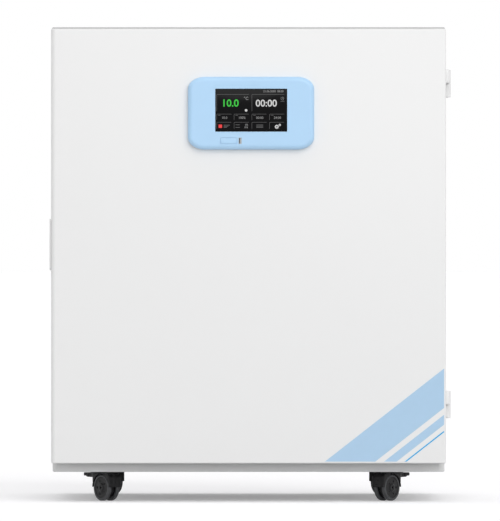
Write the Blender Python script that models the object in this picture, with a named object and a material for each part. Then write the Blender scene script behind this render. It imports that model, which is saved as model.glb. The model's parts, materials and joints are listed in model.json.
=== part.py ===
"""Refrigerated incubator: a floor-standing cabinet with a solid door and an inner glass door.

Metres, +Z up. The origin is on the floor under the centre of the plan. The door faces -Y, and +X is
to the right of someone who faces it. Run it with blender --background --python part.py.
"""

import math

import bmesh
import bpy
from mathutils import Matrix, Vector

# Clearances
SEAT = 0.0003  # between faces that touch
SLIP = 0.0004  # round a pin in its hole
OVERCUT = 0.005  # how far a cutter runs past the face that it opens

# Cabinet
CABINET_WIDTH = 0.840
CABINET_DEPTH = 0.698
CASE_HEIGHT = 0.9266
SHEET = 0.0012
CASE_CORNER = 0.0045
CASE_FLANGE = 0.030
BASE_HEIGHT = 0.0227
BASE_INSET = 0.0015
BASE_SHEET = 0.002
BASE_RAIL = 0.160
BASE_CORNER = 0.014

# Insulation and chamber
SIDE_WALL = 0.070
CEILING_WALL = 0.076
FLOOR_WALL = 0.088
REAR_WALL = 0.060
LINER_SHEET = 0.001
LINER_CORNER = 0.016
LINER_FLANGE = 0.020
FRAME_WIDTH = 0.050
FRAME_DEPTH = 0.028
REBATE_WIDTH = 0.024
REBATE_DEPTH = 0.0163

# Door
DOOR_THICKNESS = 0.060
DOOR_REVEAL = 0.0054
DOOR_GRIP_RADIUS = 0.010
DOOR_EDGE_RADIUS = 0.003
DOOR_LINER = 0.0015
DOOR_PLUG_RISE = 0.004
DOOR_PLUG_RIM = 0.045
GASKET_GAP = 0.012
GASKET_WIDTH = 0.020
GASKET_INSET = 0.003

# Grip strip in the door's left edge
GRIP_LENGTH = 0.109
GRIP_WIDTH = 0.036
GRIP_PROUD = 0.0035
GRIP_LIP = 0.007
GRIP_POCKET_DEPTH = 0.024
GRIP_WALL = 0.0022
GRIP_RISE = 0.4621

# Control housing, screen and USB bay on the door
HOUSING_WIDTH = 0.2684
HOUSING_HEIGHT = 0.1585
HOUSING_PROUD = 0.020
HOUSING_CENTRE_X = 0.0055
HOUSING_RISE = 0.7396
HOUSING_CORNER_X = 0.036
HOUSING_CORNER_Z = 0.026
HOUSING_FILLET = 0.010
HOUSING_WALL = 0.0028
SCREEN_WIDTH = 0.1524
SCREEN_HEIGHT = 0.0908
SCREEN_THICKNESS = 0.004
SCREEN_RECESS = 0.0005
SCREEN_OFFSET = 0.0003
SCREEN_RISE = 0.0081
FLAP_WIDTH = 0.0342
FLAP_HEIGHT = 0.0126
FLAP_THICKNESS = 0.0015
FLAP_OFFSET = 0.0478
FLAP_DROP = 0.0569
FLAP_RECESS = 0.0020
FLAP_GAP = 0.0005
SOCKET_WIDTH = 0.0057
SOCKET_HEIGHT = 0.0130
SOCKET_WALL = 0.0004
SOCKET_DEPTH = 0.0120
SOCKET_OFFSET = 0.0233
BOARD_THICKNESS = 0.0016
BOARD_MARGIN = 0.006

# Side hinges of the door
HINGE_HEIGHT = 0.0585
HINGE_UPPER_DROP = 0.1155
HINGE_LOWER_RISE = 0.1212
HINGE_LEAF = 0.054
HINGE_LEAF_THICKNESS = 0.0075
HINGE_PIN_RADIUS = 0.003
HINGE_BARREL_RADIUS = 0.0055
HINGE_STAND_OFF = 0.006

# Inner glass door
GLASS_THICKNESS = 0.006
GLASS_LAP_Z = 0.012
GLASS_LAP_LEFT = 0.010
GLASS_LAP_RIGHT = 0.006
GLASS_CORNER = 0.004
SEAL_WIDTH = 0.0045
SEAL_INSET = 0.0015
SEAL_THICKNESS = 0.0037
PIVOT_OFFSET = 0.006
PIVOT_BARREL_RADIUS = 0.0048
PIVOT_PIN_RADIUS = 0.003
PIVOT_PIN_GRIP = 0.007
CLAMP_LENGTH = 0.034
CLAMP_PLATE = 0.003
CLAMP_RISE = 0.004
PULL_HEIGHT = 0.090
PULL_WIDTH = 0.018
PULL_PROUD = 0.009
PULL_INSET = 0.012

# Shelves and their ladders
SHELF_GAP_TO_GLASS = 0.036
SHELF_SIDE_GAP = 0.015
SHELF_SHEET = 0.0012
SHELF_LIP = 0.012
SHELF_LEVELS = {"lower": 1, "upper": 4}
SHELF_SLOT_BRIDGE = 0.0083
SHELF_SLOT_WIDTH = 0.014
SHELF_SLOT_COLUMNS = 4
SHELF_SLOT_ROWS = 6
SHELF_BORDER = 0.045
LADDER_POST_WIDTH = 0.014
LADDER_POST_THICKNESS = 0.006
LADDER_RAIL_WIDTH = 0.026
LADDER_RAIL_THICKNESS = 0.002
LADDER_RAIL_COUNT = 7
LADDER_PITCH = 0.090
LADDER_FIRST = 0.080
LADDER_END = 0.040

# Air duct, fan and cooler
DUCT_SIDE_GAP = 0.110
DUCT_DEPTH = 0.062
DUCT_END_GAP = 0.030
DUCT_SLOT_HEIGHT = 0.006
DUCT_SLOT_LENGTH = 0.070
DUCT_SLOT_PITCH = 0.044
DUCT_SLOT_COUNT = 9
DUCT_SLOT_MARGIN = 0.022
CHAMBER_FAN_DROP = 0.170
CHAMBER_FAN_RADIUS = 0.072
CHAMBER_FAN_HUB = 0.020
CHAMBER_FAN_DEPTH = 0.022
FAN_MOTOR_RADIUS = 0.030
FAN_MOTOR_DEPTH = 0.026
FAN_GAP = 0.0012
FAN_TIP_GAP = 0.002
COOLER_DROP = 0.400
BLOCK_SIZE = 0.090
MODULE_SIZE = 0.062
MODULE_THICKNESS = 0.004
COLD_SINK_WIDTH = 0.180
COLD_SINK_HEIGHT = 0.200
HOT_SINK_WIDTH = 0.220
HOT_SINK_HEIGHT = 0.200
SINK_BASE = 0.008
COLD_FIN_DEPTH = 0.026
HOT_FIN_DEPTH = 0.040
FIN_THICKNESS = 0.003
FIN_COUNT = 13
REAR_FAN_SIZE = 0.120
REAR_FAN_DEPTH = 0.038
SERVICE_GAP = 0.0394  # between the rear fan and the cover
REAR_FAN_BORE = 0.0565
REAR_FAN_HUB = 0.021
STRUT_THICKNESS = 0.005

BLADE_THICKNESS = 0.0016
BLADE_ROOT_PITCH = math.radians(50)
BLADE_TIP_PITCH = math.radians(28)
BLADE_SPREAD = 0.8
FAN_SHAFT_RADIUS = 0.0025
FAN_INLET_GAP = 0.004
REAR_FAN_ROTOR_DEPTH = 0.024

# Probe, port and rear services
PROBE_RADIUS = 0.003
PROBE_LENGTH = 0.070
PROBE_INSET = 0.035
PROBE_DROP = 0.060
PORT_INSET = 0.056
PORT_DROP = 0.370
PORT_BORE = 0.021
PORT_WALL = 0.0036
PORT_RIM = 0.034
PORT_RIM_THICKNESS = 0.003
PLUG_PROUD = 0.010
PLUG_SHANK = 0.060
PLUG_HEAD = 0.027
REAR_COVER_DEPTH = 0.018
LOUVRE_LENGTH = 0.300
LOUVRE_HEIGHT = 0.010
LOUVRE_PROUD = 0.005
LOUVRE_PITCH = 0.023
LOUVRE_COUNT = 6
LOUVRE_MARGIN = 0.110
GRILLE_SLOT = 0.007
GRILLE_PITCH = 0.013
SUPPLY_SIZE = (0.115, 0.050, 0.200)
SUPPLY_INSET = 0.175
SUPPLY_RISE = 0.150
CONTROL_BOARD_SIZE = (0.190, 0.0016, 0.150)
CONTROL_BOARD_INSET = 0.185
CONTROL_BOARD_RISE = 0.330
STANDOFF_HEIGHT = 0.010
STANDOFF_RADIUS = 0.004
INLET_INSET = 0.120
INLET_RISE = 0.090
INLET_WIDTH = 0.050
INLET_HEIGHT = 0.066
INLET_FLANGE = 0.0026
INLET_RIM = 0.004
INLET_BODY_DEPTH = 0.026
INLET_SOCKET = (0.024, 0.016)
INLET_SOCKET_DEPTH = 0.017
INLET_SOCKET_RISE = -0.013
ROCKER_RISE = 0.018
ROCKER_WIDTH = 0.022
ROCKER_HALF_HEIGHT = 0.0068
ROCKER_THICKNESS = 0.007
ROCKER_GAP = 0.0014
ROCKER_TILT = math.radians(10)

# Casters
WHEEL_RADIUS = 0.0286
WHEEL_WIDTH = 0.0086
WHEEL_SEGMENTS = 20
AXLE_RADIUS = 0.003
CORE_WIDTH = 0.0110
WHEEL_SIDE_GAP = 0.0009
WHEEL_CLEARANCE = 0.0012
HOOD_WALL = 0.0018
CORE_RADIUS = 0.021
CASTER_TRAIL = 0.020
CASTER_YAW = math.radians(53.5)
SWIVEL_INSET_X = 0.1081
SWIVEL_OFFSET_X = -0.004
SWIVEL_INSET_Y = 0.078
CASTER_PLATE = 0.046
CASTER_PLATE_THICKNESS = 0.002
HEAD_GAP = 0.0007
STEM_RADIUS = 0.004
STEM_LENGTH = 0.026
NOSE_LENGTH = 0.0125
NOSE_DROP = 0.020
TAIL_ROUND = 0.010
LUG_THICKNESS = 0.003
LUG_LENGTH = 0.009
PEDAL_LENGTH = 0.027
PEDAL_THICKNESS = 0.0095
PEDAL_BARREL = 0.0034
PEDAL_PIN = 0.0016

# Places that follow from the sizes
TOTAL_DEPTH = HOUSING_PROUD + DOOR_THICKNESS + GASKET_GAP + CABINET_DEPTH + PLUG_PROUD
DOOR_FRONT = HOUSING_PROUD - TOTAL_DEPTH / 2
DOOR_BACK = DOOR_FRONT + DOOR_THICKNESS
FRONT = DOOR_BACK + GASKET_GAP
BACK = FRONT + CABINET_DEPTH

AXLE_HEIGHT = WHEEL_RADIUS * math.cos(math.pi / WHEEL_SEGMENTS)
WELL_RADIUS = WHEEL_RADIUS + WHEEL_CLEARANCE
HOOD_RADIUS = WELL_RADIUS + HOOD_WALL
HEAD_DROP = SEAT + CASTER_PLATE_THICKNESS + HEAD_GAP
HOOD_HALF_WIDTH = CORE_WIDTH / 2 + WHEEL_SIDE_GAP + WHEEL_WIDTH + WHEEL_SIDE_GAP
BASE_BOTTOM = AXLE_HEIGHT + HOOD_RADIUS + HEAD_DROP
BASE_TOP = BASE_BOTTOM + BASE_HEIGHT
CASE_BOTTOM = BASE_TOP + SEAT
CASE_TOP = CASE_BOTTOM + CASE_HEIGHT
CASE_X = CABINET_WIDTH / 2
INSIDE_X = CASE_X - SHEET - SEAT
INSIDE_BOTTOM = CASE_BOTTOM + SHEET + SEAT
INSIDE_TOP = CASE_TOP - SHEET - SEAT

CHAMBER_X = CASE_X - SIDE_WALL
CHAMBER_BOTTOM = CASE_BOTTOM + FLOOR_WALL
CHAMBER_TOP = CASE_TOP - CEILING_WALL
FRAME_X = CHAMBER_X + FRAME_WIDTH
FRAME_BOTTOM = CHAMBER_BOTTOM - FRAME_WIDTH
FRAME_TOP = CHAMBER_TOP + FRAME_WIDTH
FRAME_BACK = FRONT + FRAME_DEPTH
LEDGE = FRONT + REBATE_DEPTH
REAR_FAN_BACK = BACK - SHEET - SERVICE_GAP
REAR_FAN_FRONT = REAR_FAN_BACK - REAR_FAN_DEPTH
HOT_SINK_BACK = REAR_FAN_FRONT - SEAT
HOT_SINK_FRONT = HOT_SINK_BACK - SINK_BASE - HOT_FIN_DEPTH
PANEL_BACK = HOT_SINK_FRONT - SEAT
FOAM_BACK = PANEL_BACK - SEAT - SHEET
LINER_FRONT = FRAME_BACK + SEAT
LINER_BACK = FOAM_BACK - LINER_SHEET - REAR_WALL

DOOR_X = CASE_X
DOOR_BOTTOM = CASE_BOTTOM
DOOR_TOP = CASE_TOP - DOOR_REVEAL
DOOR_MIDDLE = (DOOR_FRONT + DOOR_BACK) / 2
HOUSING_FRONT = DOOR_FRONT - HOUSING_PROUD
HOUSING_CENTRE_Z = DOOR_BOTTOM + HOUSING_RISE
SCREEN_CENTRE_X = HOUSING_CENTRE_X + SCREEN_OFFSET
SCREEN_CENTRE_Z = HOUSING_CENTRE_Z + SCREEN_RISE
FLAP_CENTRE_X = HOUSING_CENTRE_X - FLAP_OFFSET
FLAP_CENTRE_Z = HOUSING_CENTRE_Z - FLAP_DROP
SOCKET_CENTRE_X = HOUSING_CENTRE_X - SOCKET_OFFSET
GRIP_CENTRE_Z = DOOR_BOTTOM + GRIP_RISE
HINGE_UPPER_Z = DOOR_TOP - HINGE_UPPER_DROP
HINGE_LOWER_Z = DOOR_BOTTOM + HINGE_LOWER_RISE
HINGE_X = DOOR_X + HINGE_STAND_OFF
HINGE_Y = DOOR_BACK + GASKET_GAP / 2

SEAL_FRONT = LEDGE - SEAT - SEAL_THICKNESS
GLASS_BACK = SEAL_FRONT - SEAT
GLASS_FRONT = GLASS_BACK - GLASS_THICKNESS
GLASS_MIDDLE = (GLASS_FRONT + GLASS_BACK) / 2
GLASS_LEFT = -CHAMBER_X - GLASS_LAP_LEFT
GLASS_RIGHT = CHAMBER_X + GLASS_LAP_RIGHT
GLASS_BOTTOM = CHAMBER_BOTTOM - GLASS_LAP_Z
GLASS_TOP = CHAMBER_TOP + GLASS_LAP_Z
PIVOT_X = GLASS_RIGHT + PIVOT_OFFSET

DUCT_WIDTH = 2 * (CHAMBER_X - DUCT_SIDE_GAP)
DUCT_BACK = LINER_BACK - SEAT
DUCT_FRONT = DUCT_BACK - DUCT_DEPTH
DUCT_BOTTOM = CHAMBER_BOTTOM + DUCT_END_GAP
DUCT_TOP = CHAMBER_TOP - DUCT_END_GAP
CHAMBER_FAN_Z = CHAMBER_TOP - CHAMBER_FAN_DROP
COOLER_Z = CHAMBER_TOP - COOLER_DROP
PORT_X = CHAMBER_X - PORT_INSET
PORT_Z = CHAMBER_TOP - PORT_DROP
PROBE_X = DUCT_WIDTH / 2 - PROBE_INSET
SUPPLY_X = CASE_X - SUPPLY_INSET
CONTROL_BOARD_X = CONTROL_BOARD_INSET - CASE_X
INLET_X = INLET_INSET - CASE_X
MODULE_FRONT = HOT_SINK_FRONT - SEAT - MODULE_THICKNESS

SHELF_X = CHAMBER_X - SHELF_SIDE_GAP
SHELF_FRONT = GLASS_BACK + SHELF_GAP_TO_GLASS
SHELF_BACK = DUCT_FRONT - SHELF_SIDE_GAP / 3
SWIVEL_X = CASE_X - SWIVEL_INSET_X
SWIVEL_FRONT = FRONT + SWIVEL_INSET_Y
SWIVEL_BACK = BACK - SWIVEL_INSET_Y


def clear_scene():
    for obj in list(bpy.data.objects):
        bpy.data.objects.remove(obj, do_unlink=True)


def new_collection(name, hidden):
    made = bpy.data.collections.new(name)
    made.hide_render = hidden
    bpy.context.scene.collection.children.link(made)
    return made


def material(name, colour, roughness, metallic=0.0, alpha=1.0):
    made = bpy.data.materials.new(name)
    made.use_nodes = True
    shader = made.node_tree.nodes["Principled BSDF"]
    shader.inputs["Base Color"].default_value = (*colour, 1.0)
    shader.inputs["Roughness"].default_value = roughness
    shader.inputs["Metallic"].default_value = metallic
    shader.inputs["Alpha"].default_value = alpha
    return made


clear_scene()
PARTS = new_collection("refrigerated_incubator", hidden=False)
CUTTERS = new_collection("cutters", hidden=True)
WHITE_COAT = material("white_powder_coat", (0.84, 0.84, 0.84), 0.35)
GREY_COAT = material("grey_powder_coat", (0.37, 0.37, 0.38), 0.5)
STAINLESS = material("brushed_stainless", (0.62, 0.62, 0.61), 0.32, 1.0)
ZINC = material("zinc_plate", (0.66, 0.67, 0.68), 0.4, 1.0)
ALUMINIUM = material("aluminium", (0.72, 0.73, 0.75), 0.35, 1.0)
FOAM = material("insulating_foam", (0.83, 0.77, 0.58), 0.9)
WHITE_PLASTIC = material("white_plastic", (0.82, 0.82, 0.82), 0.45)
BLUE_PLASTIC = material("light_blue_plastic", (0.49, 0.72, 0.96), 0.35)
BLACK_PLASTIC = material("black_plastic", (0.02, 0.02, 0.022), 0.5)
BLACK_GLASS = material("screen_glass", (0.005, 0.005, 0.006), 0.1)
CLEAR_GLASS = material("clear_glass", (0.90, 0.95, 0.93), 0.05, 0.0, 0.35)
GASKET_RUBBER = material("grey_gasket", (0.45, 0.45, 0.46), 0.8)
SILICONE = material("translucent_silicone", (0.80, 0.80, 0.78), 0.6)
BOARD = material("circuit_board", (0.03, 0.20, 0.09), 0.6)
GREY_TREAD = material("caster_tread", (0.05, 0.05, 0.055), 0.6)


def add_box(bm, x, y, z):
    """A cuboid between the two values of each pair."""
    low = Vector((x[0], y[0], z[0]))
    high = Vector((x[1], y[1], z[1]))
    size = high - low
    place = Matrix.Translation((low + high) / 2) @ Matrix.Diagonal((*size, 1.0))
    return bmesh.ops.create_cube(bm, size=1.0, matrix=place)["verts"]


def box(x, y, z):
    bm = bmesh.new()
    add_box(bm, x, y, z)
    return bm


def about(centre, size):
    """The pair of values that lie half of size on each side of centre."""
    return centre - size / 2, centre + size / 2


def add_cylinder(bm, centre, axis, radius, length, segments=20):
    """A closed cylinder about centre, with a flat of its polygon facing down when it lies on its side."""
    turn = Vector((0, 0, 1)).rotation_difference(Vector(axis)).to_matrix().to_4x4()
    half_step = Matrix.Rotation(math.pi / segments, 4, "Z")
    place = Matrix.Translation(centre) @ turn @ half_step
    bmesh.ops.create_cone(
        bm, cap_ends=True, segments=segments, radius1=radius, radius2=radius, depth=length, matrix=place
    )


def cylinder(centre, axis, radius, length, segments=20):
    bm = bmesh.new()
    add_cylinder(bm, centre, axis, radius, length, segments)
    return bm


def turned(profile, centre, axis, segments=20):
    """A shape turned about an axis through centre, from (distance from the axis, place along it)."""
    bm = bmesh.new()
    verts = [bm.verts.new((radius, 0.0, along)) for radius, along in profile]
    edges = [bm.edges.new(pair) for pair in zip(verts, verts[1:])]
    if profile[0][0] > 0:
        edges.append(bm.edges.new((verts[-1], verts[0])))
    bmesh.ops.spin(
        bm, geom=verts + edges, cent=(0, 0, 0), axis=(0, 0, 1), angle=math.tau, steps=segments, use_merge=True
    )
    bmesh.ops.remove_doubles(bm, verts=bm.verts, dist=1e-6)
    half_step = Matrix.Rotation(math.pi / segments, 4, "Z")
    turn = Vector((0, 0, 1)).rotation_difference(Vector(axis)).to_matrix().to_4x4()
    bmesh.ops.transform(bm, matrix=Matrix.Translation(centre) @ turn @ half_step, verts=bm.verts)
    bmesh.ops.recalc_face_normals(bm, faces=bm.faces)
    return bm


def parallel_edges(bm, axis):
    direction = Vector(axis)
    found = []
    for edge in bm.edges:
        along = (edge.verts[1].co - edge.verts[0].co).normalized()
        if abs(along.dot(direction)) > 0.999:
            found.append(edge)
    return found


def bevel(bm, edges, radius, segments):
    bmesh.ops.bevel(
        bm, geom=edges, offset=radius, offset_type="OFFSET", segments=segments, profile=0.5, affect="EDGES"
    )


def round_along(bm, axis, radius, segments=3):
    """Rounds the edges that run along the axis."""
    bevel(bm, parallel_edges(bm, axis), radius, segments)
    return bm


def sharp_edges_off_plane(bm, plane_y):
    """Edges of over 40 degrees that don't lie in the plane at this Y."""
    found = []
    for edge in bm.edges:
        in_plane = all(abs(vert.co.y - plane_y) < 1e-6 for vert in edge.verts)
        if not in_plane and edge.calc_face_angle(0.0) > math.radians(40):
            found.append(edge)
    return found


def piece(name, bm, finish, body=None, location=(0, 0, 0)):
    """A sub-part. With a body, an empty on a joint's axis, it is parented to it."""
    mesh = bpy.data.meshes.new(name)
    bm.to_mesh(mesh)
    bm.free()
    mesh.materials.append(finish)
    mesh.shade_smooth()
    mesh.set_sharp_from_angle(angle=math.radians(35))
    obj = bpy.data.objects.new(name, mesh)
    obj.location = location
    PARTS.objects.link(obj)
    if body is not None:
        obj.parent = body
        if not body.get("local"):
            obj.matrix_parent_inverse = Matrix.Translation(body.location).inverted()
    return obj


def tool(obj, bm, operation):
    mesh = bpy.data.meshes.new(f"{obj.name}_{operation.lower()}")
    bm.to_mesh(mesh)
    bm.free()
    made = bpy.data.objects.new(mesh.name, mesh)
    made.hide_render = True
    made.display_type = "WIRE"
    made.parent = obj.parent
    made.matrix_parent_inverse = obj.matrix_parent_inverse.copy()
    made.location = obj.location
    CUTTERS.objects.link(made)
    modifier = obj.modifiers.new(operation.lower(), "BOOLEAN")
    modifier.operation = operation
    modifier.solver = "EXACT"
    modifier.object = made


def cut(obj, bm):
    tool(obj, bm, "DIFFERENCE")


def join(obj, bm):
    tool(obj, bm, "UNION")


def axis_empty(name, location, parent=None, yaw=0.0, local=False):
    """The pivot of a moving body. Pieces of a local one are modelled about the pivot itself."""
    made = bpy.data.objects.new(name, None)
    made.empty_display_size = 0.05
    made.location = location
    made.rotation_euler = (0, 0, yaw)
    made["local"] = local
    PARTS.objects.link(made)
    made.parent = parent
    return made


def ring(x, y, z, width):
    """A rectangular ring in the XZ plane: its outer box, and the box that opens it."""
    outer = box(x, y, z)
    inner_x = (x[0] + width, x[1] - width)
    inner_z = (z[0] + width, z[1] - width)
    return outer, box(inner_x, (y[0] - OVERCUT, y[1] + OVERCUT), inner_z)


def base_pan():
    x = CASE_X - BASE_INSET
    y = (FRONT + BASE_INSET, BACK - BASE_INSET)
    shell = box((-x, x), y, (BASE_BOTTOM, BASE_TOP))
    round_along(shell, (0, 0, 1), BASE_CORNER)
    pan = piece("base_pan", shell, GREY_COAT)
    inner_x = x - BASE_SHEET
    inner_y = (y[0] + BASE_SHEET, y[1] - BASE_SHEET)
    hollow = box((-inner_x, inner_x), inner_y, (BASE_BOTTOM + BASE_SHEET, BASE_TOP - BASE_SHEET))
    cut(pan, round_along(hollow, (0, 0, 1), BASE_CORNER - BASE_SHEET))
    opening_x = x - BASE_RAIL
    opening_y = (y[0] + BASE_RAIL, y[1] - BASE_RAIL)
    cut(pan, box((-opening_x, opening_x), opening_y, (BASE_BOTTOM - OVERCUT, BASE_TOP - BASE_SHEET * 2)))


def outer_case():
    shell = box((-CASE_X, CASE_X), (FRONT, BACK), (CASE_BOTTOM, CASE_TOP))
    case = piece("outer_case", round_along(shell, (0, 1, 0), CASE_CORNER), WHITE_COAT)
    inner_x = CASE_X - SHEET
    inner_z = (CASE_BOTTOM + SHEET, CASE_TOP - SHEET)
    hollow = box((-inner_x, inner_x), (FRONT + SHEET, BACK + OVERCUT), inner_z)
    cut(case, round_along(hollow, (0, 1, 0), CASE_CORNER - SHEET))
    floor_x = CASE_X - CASE_FLANGE
    floor_z = (CASE_BOTTOM - OVERCUT, CASE_BOTTOM + OVERCUT)
    cut(case, box((-floor_x, floor_x), (FRONT + CASE_FLANGE, BACK - CASE_FLANGE), floor_z))
    front_x = FRAME_X + SEAT
    front_y = (FRONT - OVERCUT, FRONT + OVERCUT)
    cut(case, box((-front_x, front_x), front_y, (FRAME_BOTTOM - SEAT, FRAME_TOP + SEAT)))


def port_bore(radius):
    """A cutter for what the access port passes through."""
    length = 2 * (BACK - LINER_BACK)
    return cylinder((PORT_X, (LINER_BACK + BACK) / 2, PORT_Z), (0, 1, 0), radius, length)


def cooler_window():
    """A cutter for what the cold block passes through."""
    size = BLOCK_SIZE + 2 * SEAT
    y = (LINER_BACK - OVERCUT, PANEL_BACK + OVERCUT)
    return box(about(0, size), y, about(COOLER_Z, size))


def cabinet_foam():
    block = box((-INSIDE_X, INSIDE_X), (FRONT + SHEET + SEAT, FOAM_BACK), (INSIDE_BOTTOM, INSIDE_TOP))
    foam = piece("cabinet_foam", round_along(block, (0, 1, 0), CASE_CORNER - SHEET), FOAM)
    x = FRAME_X + SEAT
    y = (FRONT - OVERCUT, LINER_FRONT + LINER_SHEET + SEAT)
    cut(foam, box((-x, x), y, (FRAME_BOTTOM - SEAT, FRAME_TOP + SEAT)))
    room = LINER_SHEET + SEAT
    x = CHAMBER_X + room
    cavity = box((-x, x), (FRONT, LINER_BACK + room), (CHAMBER_BOTTOM - room, CHAMBER_TOP + room))
    cut(foam, round_along(cavity, (0, 1, 0), LINER_CORNER))
    cut(foam, cooler_window())
    cut(foam, port_bore(PORT_BORE + PORT_WALL + SEAT))


def chamber_liner():
    x = CHAMBER_X + LINER_SHEET
    z = (CHAMBER_BOTTOM - LINER_SHEET, CHAMBER_TOP + LINER_SHEET)
    tub = box((-x, x), (LINER_FRONT, LINER_BACK + LINER_SHEET), z)
    liner = piece("chamber_liner", round_along(tub, (0, 1, 0), LINER_CORNER), STAINLESS)
    flange_x = CHAMBER_X + LINER_FLANGE
    flange_z = (CHAMBER_BOTTOM - LINER_FLANGE, CHAMBER_TOP + LINER_FLANGE)
    join(liner, box((-flange_x, flange_x), (LINER_FRONT, LINER_FRONT + LINER_SHEET), flange_z))
    hollow = box((-CHAMBER_X, CHAMBER_X), (FRONT, LINER_BACK), (CHAMBER_BOTTOM, CHAMBER_TOP))
    cut(liner, round_along(hollow, (0, 1, 0), LINER_CORNER - LINER_SHEET))
    cut(liner, cooler_window())
    cut(liner, port_bore(PORT_BORE + PORT_WALL + SEAT))


def front_frame():
    block = box((-FRAME_X, FRAME_X), (FRONT, FRAME_BACK), (FRAME_BOTTOM, FRAME_TOP))
    frame = piece("front_frame", block, WHITE_PLASTIC)
    x = CHAMBER_X + REBATE_WIDTH
    z = (CHAMBER_BOTTOM - REBATE_WIDTH, CHAMBER_TOP + REBATE_WIDTH)
    cut(frame, box((-x, x), (FRONT - OVERCUT, LEDGE), z))
    through_y = (FRONT - OVERCUT, FRAME_BACK + OVERCUT)
    through = box((-CHAMBER_X, CHAMBER_X), through_y, (CHAMBER_BOTTOM, CHAMBER_TOP))
    cut(frame, round_along(through, (0, 1, 0), LINER_CORNER - LINER_SHEET))
    holes = bmesh.new()
    depth = 2 * (PIVOT_PIN_GRIP + SLIP)
    for edge_z in z:
        add_cylinder(holes, (PIVOT_X, GLASS_MIDDLE, edge_z), (0, 0, 1), PIVOT_PIN_RADIUS + SLIP, depth, 16)
    cut(frame, holes)


def inner_door_seal():
    x = CHAMBER_X + SEAL_INSET + SEAL_WIDTH
    z = (CHAMBER_BOTTOM - SEAL_INSET - SEAL_WIDTH, CHAMBER_TOP + SEAL_INSET + SEAL_WIDTH)
    outer, opening = ring((-x, x), (SEAL_FRONT, LEDGE - SEAT), z, SEAL_WIDTH)
    cut(piece("inner_door_seal", outer, SILICONE), opening)


def rear_panel():
    sheet = box((-INSIDE_X, INSIDE_X), (FOAM_BACK + SEAT, PANEL_BACK), (INSIDE_BOTTOM, INSIDE_TOP))
    panel = piece("rear_panel", round_along(sheet, (0, 1, 0), CASE_CORNER - SHEET), ZINC)
    cut(panel, cooler_window())
    cut(panel, port_bore(PORT_BORE + PORT_WALL + SEAT))


def louvre_rows():
    """The lowest Z of each louvre, in a bank near the bottom and one near the top."""
    low_bank = CASE_BOTTOM + LOUVRE_MARGIN
    high_bank = CASE_TOP - LOUVRE_MARGIN - (LOUVRE_COUNT - 1) * LOUVRE_PITCH - LOUVRE_HEIGHT
    return [bank + step * LOUVRE_PITCH for bank in (low_bank, high_bank) for step in range(LOUVRE_COUNT)]


def add_wedge(bm, x, y, z):
    """A box whose upper outer edge is drawn back, so that it slopes from the panel outwards and down."""
    for vert in add_box(bm, x, y, z):
        if vert.co.y > BACK and vert.co.z > (z[0] + z[1]) / 2:
            vert.co.y = BACK - SHEET / 2


def rear_cover():
    x = INSIDE_X
    shell = box((-x, x), (BACK - REAR_COVER_DEPTH, BACK), (INSIDE_BOTTOM, INSIDE_TOP))
    cover = piece("rear_cover", round_along(shell, (0, 1, 0), CASE_CORNER - SHEET), WHITE_COAT)
    hollow_y = (BACK - REAR_COVER_DEPTH - OVERCUT, BACK - SHEET)
    hollow = box((SHEET - x, x - SHEET), hollow_y, (INSIDE_BOTTOM + SHEET, INSIDE_TOP - SHEET))
    cut(cover, hollow)
    hoods = bmesh.new()
    throats = bmesh.new()
    for row in louvre_rows():
        hood_y = (BACK - SHEET / 2, BACK + LOUVRE_PROUD)
        add_wedge(hoods, about(0, LOUVRE_LENGTH), hood_y, (row, row + LOUVRE_HEIGHT))
        throat_y = (BACK - SHEET - OVERCUT, BACK + LOUVRE_PROUD - SHEET)
        throat_z = (row - SHEET / 2, row + LOUVRE_HEIGHT - 2 * SHEET)
        add_wedge(throats, about(0, LOUVRE_LENGTH - 2 * SHEET), throat_y, throat_z)
    join(cover, hoods)
    cut(cover, throats)
    cut(cover, round_grille(BACK, REAR_FAN_BORE, COOLER_Z))
    cut(cover, port_bore(PORT_BORE + PORT_WALL + SEAT))
    inlet_x = about(INLET_X, INLET_WIDTH - 2 * INLET_RIM + 2 * SEAT)
    inlet_z = about(INSIDE_BOTTOM + INLET_RISE, INLET_HEIGHT - 2 * INLET_RIM + 2 * SEAT)
    cut(cover, box(inlet_x, (BACK - OVERCUT, BACK + OVERCUT), inlet_z))


def round_grille(face_y, radius, centre_z):
    """Cutters for level slots that fill a circle on a sheet at this Y."""
    slots = bmesh.new()
    reach = int(radius // GRILLE_PITCH)
    for step in range(-reach, reach + 1):
        rise = step * GRILLE_PITCH
        half = math.sqrt(max(radius**2 - rise**2, (2 * GRILLE_PITCH) ** 2))
        y = (face_y - OVERCUT, face_y + OVERCUT)
        add_box(slots, (-half, half), y, about(centre_z + rise, GRILLE_SLOT))
    return slots


def air_duct():
    x = DUCT_WIDTH / 2
    shell = box((-x, x), (DUCT_FRONT, DUCT_BACK), (DUCT_BOTTOM, DUCT_TOP))
    duct = piece("air_duct", shell, STAINLESS)
    hollow_y = (DUCT_FRONT + SHEET, DUCT_BACK + OVERCUT)
    cut(duct, box((SHEET - x, x - SHEET), hollow_y, (DUCT_BOTTOM + SHEET, DUCT_TOP - SHEET)))
    slots = round_grille(DUCT_FRONT, CHAMBER_FAN_RADIUS, CHAMBER_FAN_Z)
    slot_y = (DUCT_FRONT - OVERCUT, DUCT_FRONT + OVERCUT)
    for step in range(DUCT_SLOT_COUNT):
        z = about(DUCT_BOTTOM + DUCT_SLOT_PITCH * (step + 1), DUCT_SLOT_HEIGHT)
        for side in (-1, 1):
            near = side * (x - DUCT_SLOT_MARGIN - DUCT_SLOT_LENGTH)
            far = side * (x - DUCT_SLOT_MARGIN)
            add_box(slots, (min(near, far), max(near, far)), slot_y, z)
    cut(duct, slots)


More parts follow.
